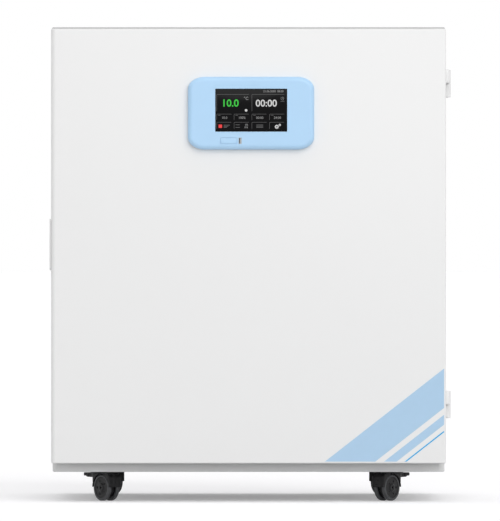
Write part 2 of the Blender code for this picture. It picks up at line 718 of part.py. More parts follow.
def heatsink(name, width, height, y_base, y_tips, finish):
    """A finned block. Its base plate starts at y_base and its fins end at y_tips, on either side."""
    side = 1 if y_tips > y_base else -1
    sink = piece(name, box(about(0, width), sorted((y_base, y_tips)), about(COOLER_Z, height)), finish)
    gap = (width - FIN_COUNT * FIN_THICKNESS) / (FIN_COUNT - 1)
    slots = bmesh.new()
    for step in range(FIN_COUNT - 1):
        low = -width / 2 + FIN_THICKNESS + step * (FIN_THICKNESS + gap)
        y = sorted((y_base + side * SINK_BASE, y_tips + side * OVERCUT))
        add_box(slots, (low, low + gap), y, about(COOLER_Z, height + 2 * OVERCUT))
    cut(sink, slots)
    return sink


def cooler():
    cold_back = LINER_BACK - SEAT
    cold_tips = cold_back - SINK_BASE - COLD_FIN_DEPTH
    cold = heatsink("cold_heatsink", COLD_SINK_WIDTH, COLD_SINK_HEIGHT, cold_back, cold_tips, ALUMINIUM)
    block_y = (cold_back - SINK_BASE / 2, MODULE_FRONT - SEAT)
    join(cold, box(about(0, BLOCK_SIZE), block_y, about(COOLER_Z, BLOCK_SIZE)))
    module_y = (MODULE_FRONT, HOT_SINK_FRONT - SEAT)
    module = box(about(0, MODULE_SIZE), module_y, about(COOLER_Z, MODULE_SIZE))
    piece("peltier_module", module, WHITE_PLASTIC)
    heatsink("hot_heatsink", HOT_SINK_WIDTH, HOT_SINK_HEIGHT, HOT_SINK_FRONT, HOT_SINK_BACK, ALUMINIUM)


def add_blade(bm, root, tip, depth):
    """A pitched blade along +X, wider and flatter towards its tip."""
    verts = add_box(bm, (root, tip), about(0, BLADE_THICKNESS), about(0, 1.0))
    for vert in verts:
        pitch = BLADE_TIP_PITCH if vert.co.x > (root + tip) / 2 else BLADE_ROOT_PITCH
        vert.co.z *= BLADE_SPREAD * depth / math.sin(pitch)
        vert.co.yz = Matrix.Rotation(pitch, 2) @ vert.co.yz
    return verts


def fan_rotor(name, centre, radius, hub_radius, depth, blade_count):
    """A hub on the Y axis with pitched blades, bored for the motor's shaft."""
    body = axis_empty(f"{name}_axis", centre, local=True)
    rotor = piece(name, cylinder((0, 0, 0), (0, 1, 0), hub_radius, depth, 20), BLACK_PLASTIC, body)
    blades = bmesh.new()
    half_chord = BLADE_SPREAD * depth / 2 / math.tan(BLADE_TIP_PITCH)
    tip = math.sqrt(radius**2 - half_chord**2)
    for step in range(blade_count):
        verts = add_blade(blades, hub_radius - 2 * BLADE_THICKNESS, tip, depth)
        spoke = Matrix.Rotation(math.tau * step / blade_count, 4, "Y")
        bmesh.ops.transform(blades, matrix=spoke, verts=verts)
    join(rotor, blades)
    bore_centre = (0, FAN_INLET_GAP, 0)
    cut(rotor, cylinder(bore_centre, (0, 1, 0), FAN_SHAFT_RADIUS + SLIP, depth, 12))


def chamber_fan():
    motor_front = DUCT_BACK - FAN_MOTOR_DEPTH
    rotor_back = motor_front - FAN_GAP
    motor_centre = (0, (motor_front + DUCT_BACK) / 2, CHAMBER_FAN_Z)
    body = cylinder(motor_centre, (0, 1, 0), FAN_MOTOR_RADIUS, FAN_MOTOR_DEPTH)
    motor = piece("chamber_fan_motor", body, BLACK_PLASTIC)
    tip = rotor_back - CHAMBER_FAN_DEPTH + 2 * FAN_INLET_GAP
    shaft_centre = (0, (tip + motor_front + OVERCUT) / 2, CHAMBER_FAN_Z)
    join(motor, cylinder(shaft_centre, (0, 1, 0), FAN_SHAFT_RADIUS, motor_front + OVERCUT - tip, 12))
    centre = (0, rotor_back - CHAMBER_FAN_DEPTH / 2, CHAMBER_FAN_Z)
    radius = CHAMBER_FAN_RADIUS - FAN_TIP_GAP
    fan_rotor("chamber_fan_rotor", centre, radius, CHAMBER_FAN_HUB, CHAMBER_FAN_DEPTH, 6)


def rear_fan():
    middle = (REAR_FAN_FRONT + REAR_FAN_BACK) / 2
    block = box(about(0, REAR_FAN_SIZE), (REAR_FAN_FRONT, REAR_FAN_BACK), about(COOLER_Z, REAR_FAN_SIZE))
    frame = piece("rear_fan_frame", round_along(block, (0, 1, 0), STRUT_THICKNESS), BLACK_PLASTIC)
    cut(frame, cylinder((0, middle, COOLER_Z), (0, 1, 0), REAR_FAN_BORE, REAR_FAN_DEPTH + OVERCUT, 32))
    rotor_front = REAR_FAN_FRONT + FAN_INLET_GAP
    plate_front = rotor_front + REAR_FAN_ROTOR_DEPTH + FAN_GAP
    plate_y = (plate_front, REAR_FAN_BACK)
    reach = REAR_FAN_SIZE - STRUT_THICKNESS
    join(frame, box(about(0, reach), plate_y, about(COOLER_Z, STRUT_THICKNESS)))
    join(frame, box(about(0, STRUT_THICKNESS), plate_y, about(COOLER_Z, reach)))
    plate_centre = (0, (plate_y[0] + plate_y[1]) / 2, COOLER_Z)
    join(frame, cylinder(plate_centre, (0, 1, 0), REAR_FAN_HUB, plate_y[1] - plate_y[0]))
    tip = rotor_front + 2 * FAN_INLET_GAP
    shaft_centre = (0, (tip + plate_y[1]) / 2 - STRUT_THICKNESS / 4, COOLER_Z)
    shaft_length = plate_y[1] - tip - STRUT_THICKNESS / 2
    join(frame, cylinder(shaft_centre, (0, 1, 0), FAN_SHAFT_RADIUS, shaft_length, 12))
    centre = (0, rotor_front + REAR_FAN_ROTOR_DEPTH / 2, COOLER_Z)
    radius = REAR_FAN_BORE - FAN_TIP_GAP
    fan_rotor("rear_fan_rotor", centre, radius, REAR_FAN_HUB - FAN_GAP, REAR_FAN_ROTOR_DEPTH, 7)


def temperature_probe():
    start = DUCT_FRONT - SEAT
    collar = 2 * PROBE_RADIUS
    profile = [
        (0, start),
        (collar, start),
        (collar, start - PROBE_RADIUS),
        (PROBE_RADIUS, start - collar),
        (PROBE_RADIUS, start - PROBE_LENGTH),
        (0, start - PROBE_LENGTH - PROBE_RADIUS),
    ]
    place = (PROBE_X, 0, DUCT_TOP - PROBE_DROP)
    piece("temperature_probe", turned(profile, place, (0, 1, 0), 12), STAINLESS)


def access_port():
    rim = BACK + SEAT
    outer = PORT_BORE + PORT_WALL
    profile = [
        (PORT_BORE, LINER_BACK - LINER_SHEET),
        (outer, LINER_BACK - LINER_SHEET),
        (outer, rim),
        (PORT_RIM, rim),
        (PORT_RIM, rim + PORT_RIM_THICKNESS / 2),
        (PORT_RIM - PORT_RIM_THICKNESS / 2, rim + PORT_RIM_THICKNESS),
        (PORT_BORE, rim + PORT_RIM_THICKNESS),
    ]
    piece("port_sleeve", turned(profile, (PORT_X, 0, PORT_Z), (0, 1, 0)), WHITE_PLASTIC)
    head = rim + PORT_RIM_THICKNESS + SEAT
    shank = PORT_BORE - SLIP
    body = axis_empty("port_plug_axis", (PORT_X, head, PORT_Z))
    profile = [
        (0, head - PLUG_SHANK),
        (shank - SLIP, head - PLUG_SHANK),
        (shank, head - PLUG_SHANK + PORT_RIM_THICKNESS),
        (shank, head),
        (PLUG_HEAD, head),
        (PLUG_HEAD, BACK + PLUG_PROUD - PORT_RIM_THICKNESS / 2),
        (PLUG_HEAD - PORT_RIM_THICKNESS / 2, BACK + PLUG_PROUD),
        (0, BACK + PLUG_PROUD),
    ]
    piece("port_plug", turned(profile, (PORT_X, 0, PORT_Z), (0, 1, 0)), SILICONE, body)


def power_supply():
    width, depth, height = SUPPLY_SIZE
    y = (PANEL_BACK + SEAT, PANEL_BACK + SEAT + depth)
    z = (INSIDE_BOTTOM + SUPPLY_RISE, INSIDE_BOTTOM + SUPPLY_RISE + height)
    supply = piece("power_supply", box(about(SUPPLY_X, width), y, z), ZINC)
    tray_z = (z[0] - depth / 4, z[0] + depth / 4)
    join(supply, box(about(SUPPLY_X, width / 2), (y[0], y[1] - depth / 2), tray_z))
    vents = bmesh.new()
    for step in range(5):
        rise = z[0] + height * (step + 2) / 8
        add_box(vents, about(SUPPLY_X, width / 2), (y[1] - SHEET, y[1] + OVERCUT), about(rise, GRILLE_SLOT))
    cut(supply, vents)


def control_board():
    width, thickness, height = CONTROL_BOARD_SIZE
    front = PANEL_BACK + SEAT
    y = (front + STANDOFF_HEIGHT, front + STANDOFF_HEIGHT + thickness)
    centre_z = INSIDE_BOTTOM + CONTROL_BOARD_RISE + height / 2
    board = piece("control_board", box(about(CONTROL_BOARD_X, width), y, about(centre_z, height)), BOARD)
    standoffs = bmesh.new()
    for side_x in (-1, 1):
        for side_z in (-1, 1):
            x = CONTROL_BOARD_X + side_x * (width / 2 - 2 * STANDOFF_RADIUS)
            z = centre_z + side_z * (height / 2 - 2 * STANDOFF_RADIUS)
            length = STANDOFF_HEIGHT + thickness / 2
            add_cylinder(standoffs, (x, front + length / 2, z), (0, 1, 0), STANDOFF_RADIUS, length, 8)
    join(board, standoffs)
    parts = bmesh.new()
    for column, row, size_x, rise, size_z in (
        (-0.30, 0.25, 0.26, 3.0, 0.30),
        (-0.30, -0.22, 0.21, 2.2, 0.40),
        (0.05, 0.0, 0.15, 0.4, 0.19),
        (0.33, 0.20, 0.16, 1.8, 0.47),
        (0.33, -0.30, 0.18, 2.6, 0.23),
    ):
        x = about(CONTROL_BOARD_X + column * width, size_x * width)
        part_y = (y[1] - thickness / 2, y[1] + rise * STANDOFF_HEIGHT)
        add_box(parts, x, part_y, about(centre_z + row * height, size_z * height))
    join(board, parts)


def power_inlet():
    centre_z = INSIDE_BOTTOM + INLET_RISE
    face = BACK + SEAT + INLET_FLANGE
    flange = box(about(INLET_X, INLET_WIDTH), (BACK + SEAT, face), about(centre_z, INLET_HEIGHT))
    inlet = piece("power_inlet", round_along(flange, (0, 1, 0), INLET_RIM), BLACK_PLASTIC)
    body_x = about(INLET_X, INLET_WIDTH - 2 * INLET_RIM)
    body_z = about(centre_z, INLET_HEIGHT - 2 * INLET_RIM)
    join(inlet, box(body_x, (BACK - INLET_BODY_DEPTH, BACK + SEAT + INLET_FLANGE / 2), body_z))
    socket_z = centre_z + INLET_SOCKET_RISE
    socket = box(
        about(INLET_X, INLET_SOCKET[0]),
        (face - INLET_SOCKET_DEPTH, face + OVERCUT),
        about(socket_z, INLET_SOCKET[1]),
    )
    cut(inlet, round_along(socket, (0, 1, 0), INLET_RIM))
    window_z = centre_z + ROCKER_RISE
    window_y = (face - ROCKER_THICKNESS * 2, face + OVERCUT)
    window_height = 2 * (ROCKER_HALF_HEIGHT + ROCKER_GAP)
    cut(inlet, box(about(INLET_X, ROCKER_WIDTH + 2 * SLIP), window_y, about(window_z, window_height)))
    pins = bmesh.new()
    for column, rise in ((-1, 0.0), (0, 1), (1, 0.0)):
        x = about(INLET_X + column * 0.007, 0.002)
        y = (face - INLET_SOCKET_DEPTH - SHEET, face - 0.003)
        add_box(pins, x, y, about(socket_z + rise * 0.003, 0.004))
    join(inlet, pins)
    rocker(face, window_z)


def rocker(face, centre_z):
    """A shallow V across its two ends, tipped so that its lower end is pressed in."""
    pivot_depth = ROCKER_THICKNESS * 0.7
    body = axis_empty("power_rocker_axis", (INLET_X, face - pivot_depth, centre_z), local=True)
    outer = pivot_depth
    block = box(about(0, ROCKER_WIDTH), (outer - ROCKER_THICKNESS, outer), (-ROCKER_HALF_HEIGHT, 0))
    add_box(block, about(0, ROCKER_WIDTH), (outer - ROCKER_THICKNESS, outer), (0, ROCKER_HALF_HEIGHT))
    bmesh.ops.remove_doubles(block, verts=block.verts, dist=1e-6)
    inner_faces = [face for face in block.faces if abs(face.calc_center_median().z) < 1e-6]
    bmesh.ops.delete(block, geom=inner_faces, context="FACES_ONLY")
    for vert in block.verts:
        if vert.co.y > 0 and abs(vert.co.z) < 1e-6:
            vert.co.y -= ROCKER_HALF_HEIGHT * math.tan(ROCKER_TILT)
    bmesh.ops.rotate(block, cent=(0, 0, 0), matrix=Matrix.Rotation(-ROCKER_TILT, 3, "X"), verts=block.verts)
    piece("power_rocker", block, BLACK_PLASTIC, body)


def rail_top(level):
    return CHAMBER_BOTTOM + LADDER_FIRST + level * LADDER_PITCH


def shelf_ladder(name, side):
    wall = side * (CHAMBER_X - SEAT)
    z = (CHAMBER_BOTTOM + LINER_CORNER + SEAT, CHAMBER_TOP - LINER_CORNER - SEAT)
    posts = bmesh.new()
    for y in (SHELF_FRONT + LADDER_END, SHELF_BACK - LADDER_END):
        x = sorted((wall, wall - side * LADDER_POST_THICKNESS))
        add_box(posts, x, about(y, LADDER_POST_WIDTH), z)
    ladder = piece(f"shelf_ladder_{name}", posts, STAINLESS)
    rails = bmesh.new()
    for level in range(LADDER_RAIL_COUNT):
        top = rail_top(level)
        x = sorted((wall - side * LADDER_POST_THICKNESS / 2, wall - side * LADDER_RAIL_WIDTH))
        add_box(rails, x, (SHELF_FRONT, SHELF_BACK), (top - LADDER_RAIL_THICKNESS, top))
    join(ladder, rails)


def shelf(name, level):
    top = rail_top(level) + SEAT + SHELF_SHEET
    body = axis_empty(f"shelf_{name}_axis", (0, SHELF_FRONT, top))
    sheet = box((-SHELF_X, SHELF_X), (SHELF_FRONT, SHELF_BACK), (top - SHELF_SHEET, top))
    plate = piece(f"shelf_{name}", sheet, STAINLESS, body)
    lip_x = CHAMBER_X - LADDER_RAIL_WIDTH - 2 * SHELF_SHEET
    lips = bmesh.new()
    for y in (SHELF_FRONT, SHELF_BACK - SHELF_SHEET):
        add_box(lips, (-lip_x, lip_x), (y, y + SHELF_SHEET), (top - SHELF_LIP, top - SHELF_SHEET / 2))
    join(plate, lips)
    pitch_x = 2 * (lip_x - SHELF_BORDER) / SHELF_SLOT_COLUMNS
    depth = SHELF_BACK - SHELF_FRONT - 2 * SHELF_BORDER
    pitch_y = depth / (SHELF_SLOT_ROWS - 1)
    slot_length = pitch_x - SHELF_SLOT_BRIDGE
    slots = bmesh.new()
    for column in range(SHELF_SLOT_COLUMNS):
        x = (column - (SHELF_SLOT_COLUMNS - 1) / 2) * pitch_x
        for row in range(SHELF_SLOT_ROWS):
            y = SHELF_FRONT + SHELF_BORDER + row * pitch_y
            z = (top - SHELF_SHEET - OVERCUT, top + OVERCUT)
            add_box(slots, about(x, slot_length), about(y, SHELF_SLOT_WIDTH), z)
    cut(plate, slots)


def glass_door():
    body = axis_empty("glass_door_axis", (PIVOT_X, GLASS_MIDDLE, 0))
    pane = box((GLASS_LEFT, GLASS_RIGHT), (GLASS_FRONT, GLASS_BACK), (GLASS_BOTTOM, GLASS_TOP))
    piece("glass_pane", round_along(pane, (0, 1, 0), GLASS_CORNER, 3), CLEAR_GLASS, body)
    glass_clamp("upper", GLASS_TOP, 1, body)
    glass_clamp("lower", GLASS_BOTTOM, -1, body)
    middle = (GLASS_TOP + GLASS_BOTTOM) / 2
    x = GLASS_LEFT + PULL_INSET
    stem_y = (GLASS_FRONT - PULL_PROUD / 2, GLASS_FRONT - SEAT)
    stem = box((x + PULL_WIDTH / 4, x + PULL_WIDTH * 3 / 4), stem_y, about(middle, PULL_HEIGHT - PULL_WIDTH))
    pull = piece("glass_pull", stem, STAINLESS, body)
    grip_y = (GLASS_FRONT - PULL_PROUD, GLASS_FRONT - PULL_PROUD / 2 + SHEET)
    grip = box((x, x + PULL_WIDTH), grip_y, about(middle, PULL_HEIGHT))
    join(pull, round_along(grip, (0, 1, 0), PULL_WIDTH / 4))


def glass_clamp(name, edge, up, body):
    """A pivot bonded to a corner of the pane: plate, edge strip, barrel and a pin into the frame."""
    z = sorted((edge + up * CLAMP_RISE, edge - up * CLAMP_LENGTH))
    y = (GLASS_FRONT - CLAMP_PLATE, GLASS_FRONT - SEAT)
    plate = box((GLASS_RIGHT - CLAMP_LENGTH, PIVOT_X), y, z)
    clamp = piece(f"glass_pivot_{name}", plate, STAINLESS, body)
    join(clamp, box((GLASS_RIGHT + SEAT, PIVOT_X), (y[0] + SEAT, GLASS_BACK), (z[0] + SEAT, z[1] - SEAT)))
    barrel = (PIVOT_X, GLASS_MIDDLE, (z[0] + z[1]) / 2)
    join(clamp, cylinder(barrel, (0, 0, 1), PIVOT_BARREL_RADIUS, z[1] - z[0], 16))
    start = edge + up * CLAMP_RISE / 2
    end = edge + up * (REBATE_WIDTH - GLASS_LAP_Z + PIVOT_PIN_GRIP)
    pin = (PIVOT_X, GLASS_MIDDLE, (start + end) / 2)
    join(clamp, cylinder(pin, (0, 0, 1), PIVOT_PIN_RADIUS, abs(end - start), 16))


def door_block(inset, back):
    """The door's outline drawn in by inset, from its front to this back plane."""
    x = DOOR_X - inset
    bm = box((-x, x), (DOOR_FRONT + inset, back), (DOOR_BOTTOM + inset, DOOR_TOP - inset))
    grip_edge = [
        edge
        for edge in parallel_edges(bm, (0, 0, 1))
        if all(vert.co.x < 0 and vert.co.y < DOOR_MIDDLE for vert in edge.verts)
    ]
    bevel(bm, grip_edge, DOOR_GRIP_RADIUS - inset, 5)
    bevel(bm, sharp_edges_off_plane(bm, back), DOOR_EDGE_RADIUS - inset, 2)
    return bm


def grip_box(reach, margin):
    """The space of the grip's pocket, with this margin round it, reaching this far into the door."""
    y = about(DOOR_MIDDLE, GRIP_WIDTH - 2 * GRIP_LIP + 2 * margin)
    z = about(GRIP_CENTRE_Z, GRIP_LENGTH - 2 * GRIP_LIP + 2 * margin)
    return box((-DOOR_X - OVERCUT, -DOOR_X + reach), y, z)


def door_skin(body):
    skin = piece("door_skin", door_block(0, DOOR_BACK), WHITE_COAT, body)
    cut(skin, door_block(SHEET, DOOR_BACK + OVERCUT))
    cut(skin, grip_box(GRIP_POCKET_DEPTH, GRIP_WALL + SEAT))


def door_foam(body):
    foam = piece("door_foam", door_block(SHEET + SEAT, DOOR_BACK - DOOR_LINER - SEAT), FOAM, body)
    cut(foam, grip_box(GRIP_POCKET_DEPTH + GRIP_WALL + SEAT, GRIP_WALL + SEAT))


def door_liner(body):
    x = DOOR_X - SHEET - SEAT
    z = (DOOR_BOTTOM + SHEET + SEAT, DOOR_TOP - SHEET - SEAT)
    sheet = box((-x, x), (DOOR_BACK - DOOR_LINER, DOOR_BACK), z)
    round_along(sheet, (0, 1, 0), DOOR_EDGE_RADIUS)
    liner = piece("door_liner", sheet, WHITE_PLASTIC, body)
    room = GASKET_INSET + GASKET_WIDTH + OVERCUT
    x = FRAME_X - room
    z = (FRAME_BOTTOM + room, FRAME_TOP - room)
    rise = box((-x, x), (DOOR_BACK - DOOR_LINER / 2, DOOR_BACK + DOOR_PLUG_RISE), z)
    join(liner, rise)
    x -= DOOR_PLUG_RIM
    z = (z[0] + DOOR_PLUG_RIM, z[1] - DOOR_PLUG_RIM)
    dish = box((-x, x), (DOOR_BACK, DOOR_BACK + OVERCUT), z)
    cut(liner, round_along(dish, (0, 1, 0), DOOR_PLUG_RIM / 2))


def door_gasket(body):
    x = FRAME_X - GASKET_INSET
    z = (FRAME_BOTTOM + GASKET_INSET, FRAME_TOP - GASKET_INSET)
    outer, opening = ring((-x, x), (DOOR_BACK + SEAT, FRONT - SEAT), z, GASKET_WIDTH)
    cut(piece("door_gasket", outer, GASKET_RUBBER, body), opening)


def door_handle(body):
    face = -DOOR_X - SEAT
    y = about(DOOR_MIDDLE, GRIP_WIDTH)
    flange = box((-DOOR_X - GRIP_PROUD, face), y, about(GRIP_CENTRE_Z, GRIP_LENGTH))
    handle = piece("door_handle", round_along(flange, (1, 0, 0), GRIP_LIP), WHITE_PLASTIC, body)
    cup = grip_box(GRIP_POCKET_DEPTH + GRIP_WALL, GRIP_WALL)
    for vert in cup.verts:
        vert.co.x = max(vert.co.x, -DOOR_X - GRIP_PROUD / 2)
    join(handle, cup)
    cut(handle, grip_box(GRIP_POCKET_DEPTH, 0))


def housing_block(inset, y):
    """The control housing's form: elliptical corners and a wide fillet round its front, drawn in by inset."""
    squeeze = HOUSING_CORNER_Z / HOUSING_CORNER_X
    width = (HOUSING_WIDTH - 2 * inset) * squeeze
    bm = box(about(0, width), y, about(0, HOUSING_HEIGHT - 2 * inset))
    round_along(bm, (0, 1, 0), HOUSING_CORNER_Z - inset, 6)
    bmesh.ops.scale(bm, vec=(1 / squeeze, 1, 1), verts=bm.verts)
    rim = [edge for edge in bm.edges if all(abs(vert.co.y - y[0]) < 1e-6 for vert in edge.verts)]
    bevel(bm, rim, HOUSING_FILLET - inset, 3)
    bmesh.ops.translate(bm, vec=(HOUSING_CENTRE_X, 0, HOUSING_CENTRE_Z), verts=bm.verts)
    return bm


def control_housing(body):
    block = housing_block(0, (HOUSING_FRONT, DOOR_FRONT - SEAT))
    housing = piece("control_housing", block, BLUE_PLASTIC, body)
    cut(housing, housing_block(HOUSING_WALL, (HOUSING_FRONT + HOUSING_WALL, DOOR_FRONT + OVERCUT)))
    through = (HOUSING_FRONT - OVERCUT, HOUSING_FRONT + OVERCUT)
    window_x = about(SCREEN_CENTRE_X, SCREEN_WIDTH + 2 * SEAT)
    window_z = about(SCREEN_CENTRE_Z, SCREEN_HEIGHT + 2 * SEAT)
    cut(housing, box(window_x, through, window_z))
    recess_z = about(FLAP_CENTRE_Z, FLAP_HEIGHT + 2 * FLAP_GAP)
    recess_x = about(FLAP_CENTRE_X, FLAP_WIDTH + 2 * FLAP_GAP)
    cut(housing, box(recess_x, (through[0], HOUSING_FRONT + FLAP_RECESS), recess_z))
    holes = bmesh.new()
    long_side = SOCKET_WIDTH + SLIP
    short_side = SOCKET_HEIGHT + SLIP
    add_box(holes, about(FLAP_CENTRE_X, short_side), through, about(FLAP_CENTRE_Z, long_side))
    add_box(holes, about(SOCKET_CENTRE_X, long_side), through, about(FLAP_CENTRE_Z, short_side))
    cut(housing, holes)


def touch_screen(body):
    y = (HOUSING_FRONT + SCREEN_RECESS, HOUSING_FRONT + SCREEN_RECESS + SCREEN_THICKNESS)
    glass = box(about(SCREEN_CENTRE_X, SCREEN_WIDTH), y, about(SCREEN_CENTRE_Z, SCREEN_HEIGHT))
    piece("touch_screen", glass, BLACK_GLASS, body)


def display_board(body):
    front = HOUSING_FRONT + SCREEN_RECESS + SCREEN_THICKNESS + SEAT
    y = (front, front + BOARD_THICKNESS)
    z = (FLAP_CENTRE_Z - SOCKET_HEIGHT, SCREEN_CENTRE_Z + SCREEN_HEIGHT / 2)
    x = about(SCREEN_CENTRE_X, SCREEN_WIDTH + BOARD_MARGIN)
    board = piece("display_board", box(x, y, z), BOARD, body)
    sockets = bmesh.new()
    mouths = bmesh.new()
    flap_floor = HOUSING_FRONT + FLAP_RECESS
    for centre_x, width, height, mouth in (
        (FLAP_CENTRE_X, SOCKET_HEIGHT, SOCKET_WIDTH, flap_floor + SEAT),
        (SOCKET_CENTRE_X, SOCKET_WIDTH, SOCKET_HEIGHT, HOUSING_FRONT + SEAT),
    ):
        socket_y = (mouth, mouth + SOCKET_DEPTH)
        add_box(sockets, about(centre_x, width), socket_y, about(FLAP_CENTRE_Z, height))
        mouth_y = (mouth - OVERCUT, mouth + SOCKET_DEPTH * 3 / 4)
        walls = 2 * SOCKET_WALL
        add_box(mouths, about(centre_x, width - walls), mouth_y, about(FLAP_CENTRE_Z, height - walls))
    join(board, sockets)
    cut(board, mouths)


def usb_flap(door_body):
    back = HOUSING_FRONT + FLAP_RECESS - FLAP_GAP
    bottom = FLAP_CENTRE_Z - FLAP_HEIGHT / 2
    centre = (FLAP_CENTRE_X, back - FLAP_THICKNESS / 2, bottom + FLAP_THICKNESS / 2)
    offset = Vector(centre) - door_body.location
    body = axis_empty("usb_flap_axis", offset, parent=door_body, local=True)
    x = about(0, FLAP_WIDTH)
    z = (-FLAP_THICKNESS / 2, FLAP_HEIGHT - FLAP_THICKNESS / 2)
    flap = box(x, about(0, FLAP_THICKNESS), z)
    piece("usb_flap", round_along(flap, (0, 1, 0), FLAP_HEIGHT / 4), BLUE_PLASTIC, body)


def side_hinge(name, centre_z, door_body):
    """A lift-off hinge: the cabinet's half below, the door's half on top of it, and a pin through both."""
    half = HINGE_HEIGHT / 2
    halves = (
        (f"hinge_block_{name}", (centre_z - half, centre_z - SEAT / 2), CASE_X, HINGE_LEAF, None),
        (f"hinge_leaf_{name}", (centre_z + SEAT / 2, centre_z + half), DOOR_X, -HINGE_LEAF, door_body),
    )
    for part, z, wall, reach, body in halves:
        x = (wall + SEAT, wall + SEAT + HINGE_LEAF_THICKNESS)
        leaf = box(x, sorted((HINGE_Y, HINGE_Y + reach)), z)
        obj = piece(part, leaf, WHITE_PLASTIC, body)
        middle = (HINGE_X, HINGE_Y, (z[0] + z[1]) / 2)
        join(obj, cylinder(middle, (0, 0, 1), HINGE_BARREL_RADIUS, z[1] - z[0], 20))
        cut(obj, cylinder(middle, (0, 0, 1), HINGE_PIN_RADIUS + SLIP, z[1] - z[0] + OVERCUT, 16))
    pin = cylinder((HINGE_X, HINGE_Y, centre_z), (0, 0, 1), HINGE_PIN_RADIUS, HINGE_HEIGHT, 16)
    piece(f"hinge_pin_{name}", pin, STAINLESS)


def caster_plate(name, x, y):
    top = BASE_BOTTOM - SEAT
    bottom = top - CASTER_PLATE_THICKNESS
    plate = box(about(x, CASTER_PLATE), about(y, CASTER_PLATE), (bottom, top))
    obj = piece(f"caster_plate_{name}", round_along(plate, (0, 0, 1), STEM_RADIUS, 3), ZINC)
    overlap = CASTER_PLATE_THICKNESS / 2
    stem_centre = (x, y, bottom + (overlap - STEM_LENGTH) / 2)
    join(obj, cylinder(stem_centre, (0, 0, 1), STEM_RADIUS, STEM_LENGTH + overlap, 16))


def caster_hood(name, body, braked):
    """The hood, modelled about the swivel axis at the base's underside, trailing along +X."""
    axle = Vector((CASTER_TRAIL, 0, AXLE_HEIGHT - BASE_BOTTOM))
    canopy = cylinder(axle, (0, 1, 0), HOOD_RADIUS, 2 * HOOD_HALF_WIDTH, 24)
    hood = piece(f"caster_hood_{name}", canopy, BLACK_PLASTIC, body)
    reach = 2 * HOOD_RADIUS
    below = (axle.z - reach, axle.z + WHEEL_CLEARANCE)
    cut(hood, box(about(CASTER_TRAIL, 2 * reach), about(0, reach), below))
    tail_x = (CASTER_TRAIL, CASTER_TRAIL + HOOD_RADIUS)
    tail = box(tail_x, (-HOOD_HALF_WIDTH, HOOD_HALF_WIDTH), (below[1], -HEAD_DROP))
    back_edges = [
        edge
        for edge in tail.edges
        if all(vert.co.x > CASTER_TRAIL + HOOD_WALL and vert.co.z > axle.z + HOOD_WALL for vert in edge.verts)
    ]
    bevel(tail, back_edges, TAIL_ROUND, 3)
    join(hood, tail)
    nose_x = (-NOSE_LENGTH, CASTER_TRAIL + HOOD_WALL)
    nose = box(nose_x, (-HOOD_HALF_WIDTH, HOOD_HALF_WIDTH), (-HEAD_DROP - NOSE_DROP, -HEAD_DROP))
    front_edges = [
        edge
        for edge in sharp_edges_off_plane(nose, HOOD_RADIUS)
        if all(vert.co.x < 0 for vert in edge.verts) and abs(edge.verts[0].co.y - edge.verts[1].co.y) < 1e-6
    ]
    bevel(nose, front_edges, STEM_RADIUS, 3)
    join(hood, nose)
    join(hood, cylinder(axle, (0, 1, 0), CORE_RADIUS, CORE_WIDTH * 1.5))
    wells = bmesh.new()
    well_length = HOOD_HALF_WIDTH - CORE_WIDTH / 2 + OVERCUT
    for side in (-1, 1):
        centre = axle + Vector((0, side * (CORE_WIDTH / 2 + well_length / 2), 0))
        add_cylinder(wells, centre, (0, 1, 0), WELL_RADIUS, well_length, 24)
    cut(hood, wells)
    stem_bottom = SEAT + CASTER_PLATE_THICKNESS + STEM_LENGTH + HEAD_GAP
    column_z = (-stem_bottom - STEM_RADIUS, -HEAD_DROP - NOSE_DROP / 2)
    column = (0, 0, (column_z[0] + column_z[1]) / 2)
    join(hood, cylinder(column, (0, 0, 1), CORE_WIDTH / 2, column_z[1] - column_z[0], 16))
    bores = cylinder((0, 0, -stem_bottom / 2), (0, 0, 1), STEM_RADIUS + SLIP, stem_bottom, 16)
    add_cylinder(bores, axle, (0, 1, 0), AXLE_RADIUS + SLIP, CORE_WIDTH + OVERCUT, 16)
    cut(hood, bores)
    if braked:
        add_pedal(name, hood, body)


def add_pedal(name, hood, body):
    """Lugs on the hood's nose, and the brake pedal that turns between them."""
    pivot_x = -NOSE_LENGTH - LUG_LENGTH / 2
    pivot_z = -HEAD_DROP - LUG_LENGTH / 2 - HEAD_GAP
    lugs = bmesh.new()
    for side in (-1, 1):
        y = sorted((side * (HOOD_HALF_WIDTH - LUG_THICKNESS), side * (HOOD_HALF_WIDTH - SLIP)))
        x = (-NOSE_LENGTH - LUG_LENGTH, -NOSE_LENGTH + STEM_RADIUS * 2)
        add_box(lugs, x, y, about(pivot_z, LUG_LENGTH))
    join(hood, lugs)
    cut(hood, cylinder((pivot_x, 0, pivot_z), (0, 1, 0), PEDAL_PIN + SLIP, 3 * HOOD_HALF_WIDTH, 12))
    axis = axis_empty(f"brake_pedal_{name}_axis", (pivot_x, 0, pivot_z), parent=body, local=True)
    barrel_half = HOOD_HALF_WIDTH - LUG_THICKNESS - SLIP
    barrel = cylinder((0, 0, 0), (0, 1, 0), PEDAL_BARREL, 2 * barrel_half, 16)
    pedal = piece(f"brake_pedal_{name}", barrel, BLACK_PLASTIC, axis)
    clear = -LUG_LENGTH / 2 - 3 * HEAD_GAP
    arm_y = (-barrel_half + SLIP, barrel_half - SLIP)
    join(pedal, box((clear - HEAD_GAP, 0), arm_y, about(0, PEDAL_BARREL * 1.5)))
    plate_top = LUG_LENGTH / 2 + HEAD_GAP
    plate_z = (plate_top - PEDAL_THICKNESS, plate_top)
    plate = box((-PEDAL_LENGTH, clear), (-HOOD_HALF_WIDTH, HOOD_HALF_WIDTH), plate_z)
    join(pedal, round_along(plate, (0, 1, 0), PEDAL_THICKNESS / 4, 2))
    join(pedal, cylinder((0, 0, 0), (0, 1, 0), PEDAL_PIN, 2 * (HOOD_HALF_WIDTH - SLIP * 2), 12))


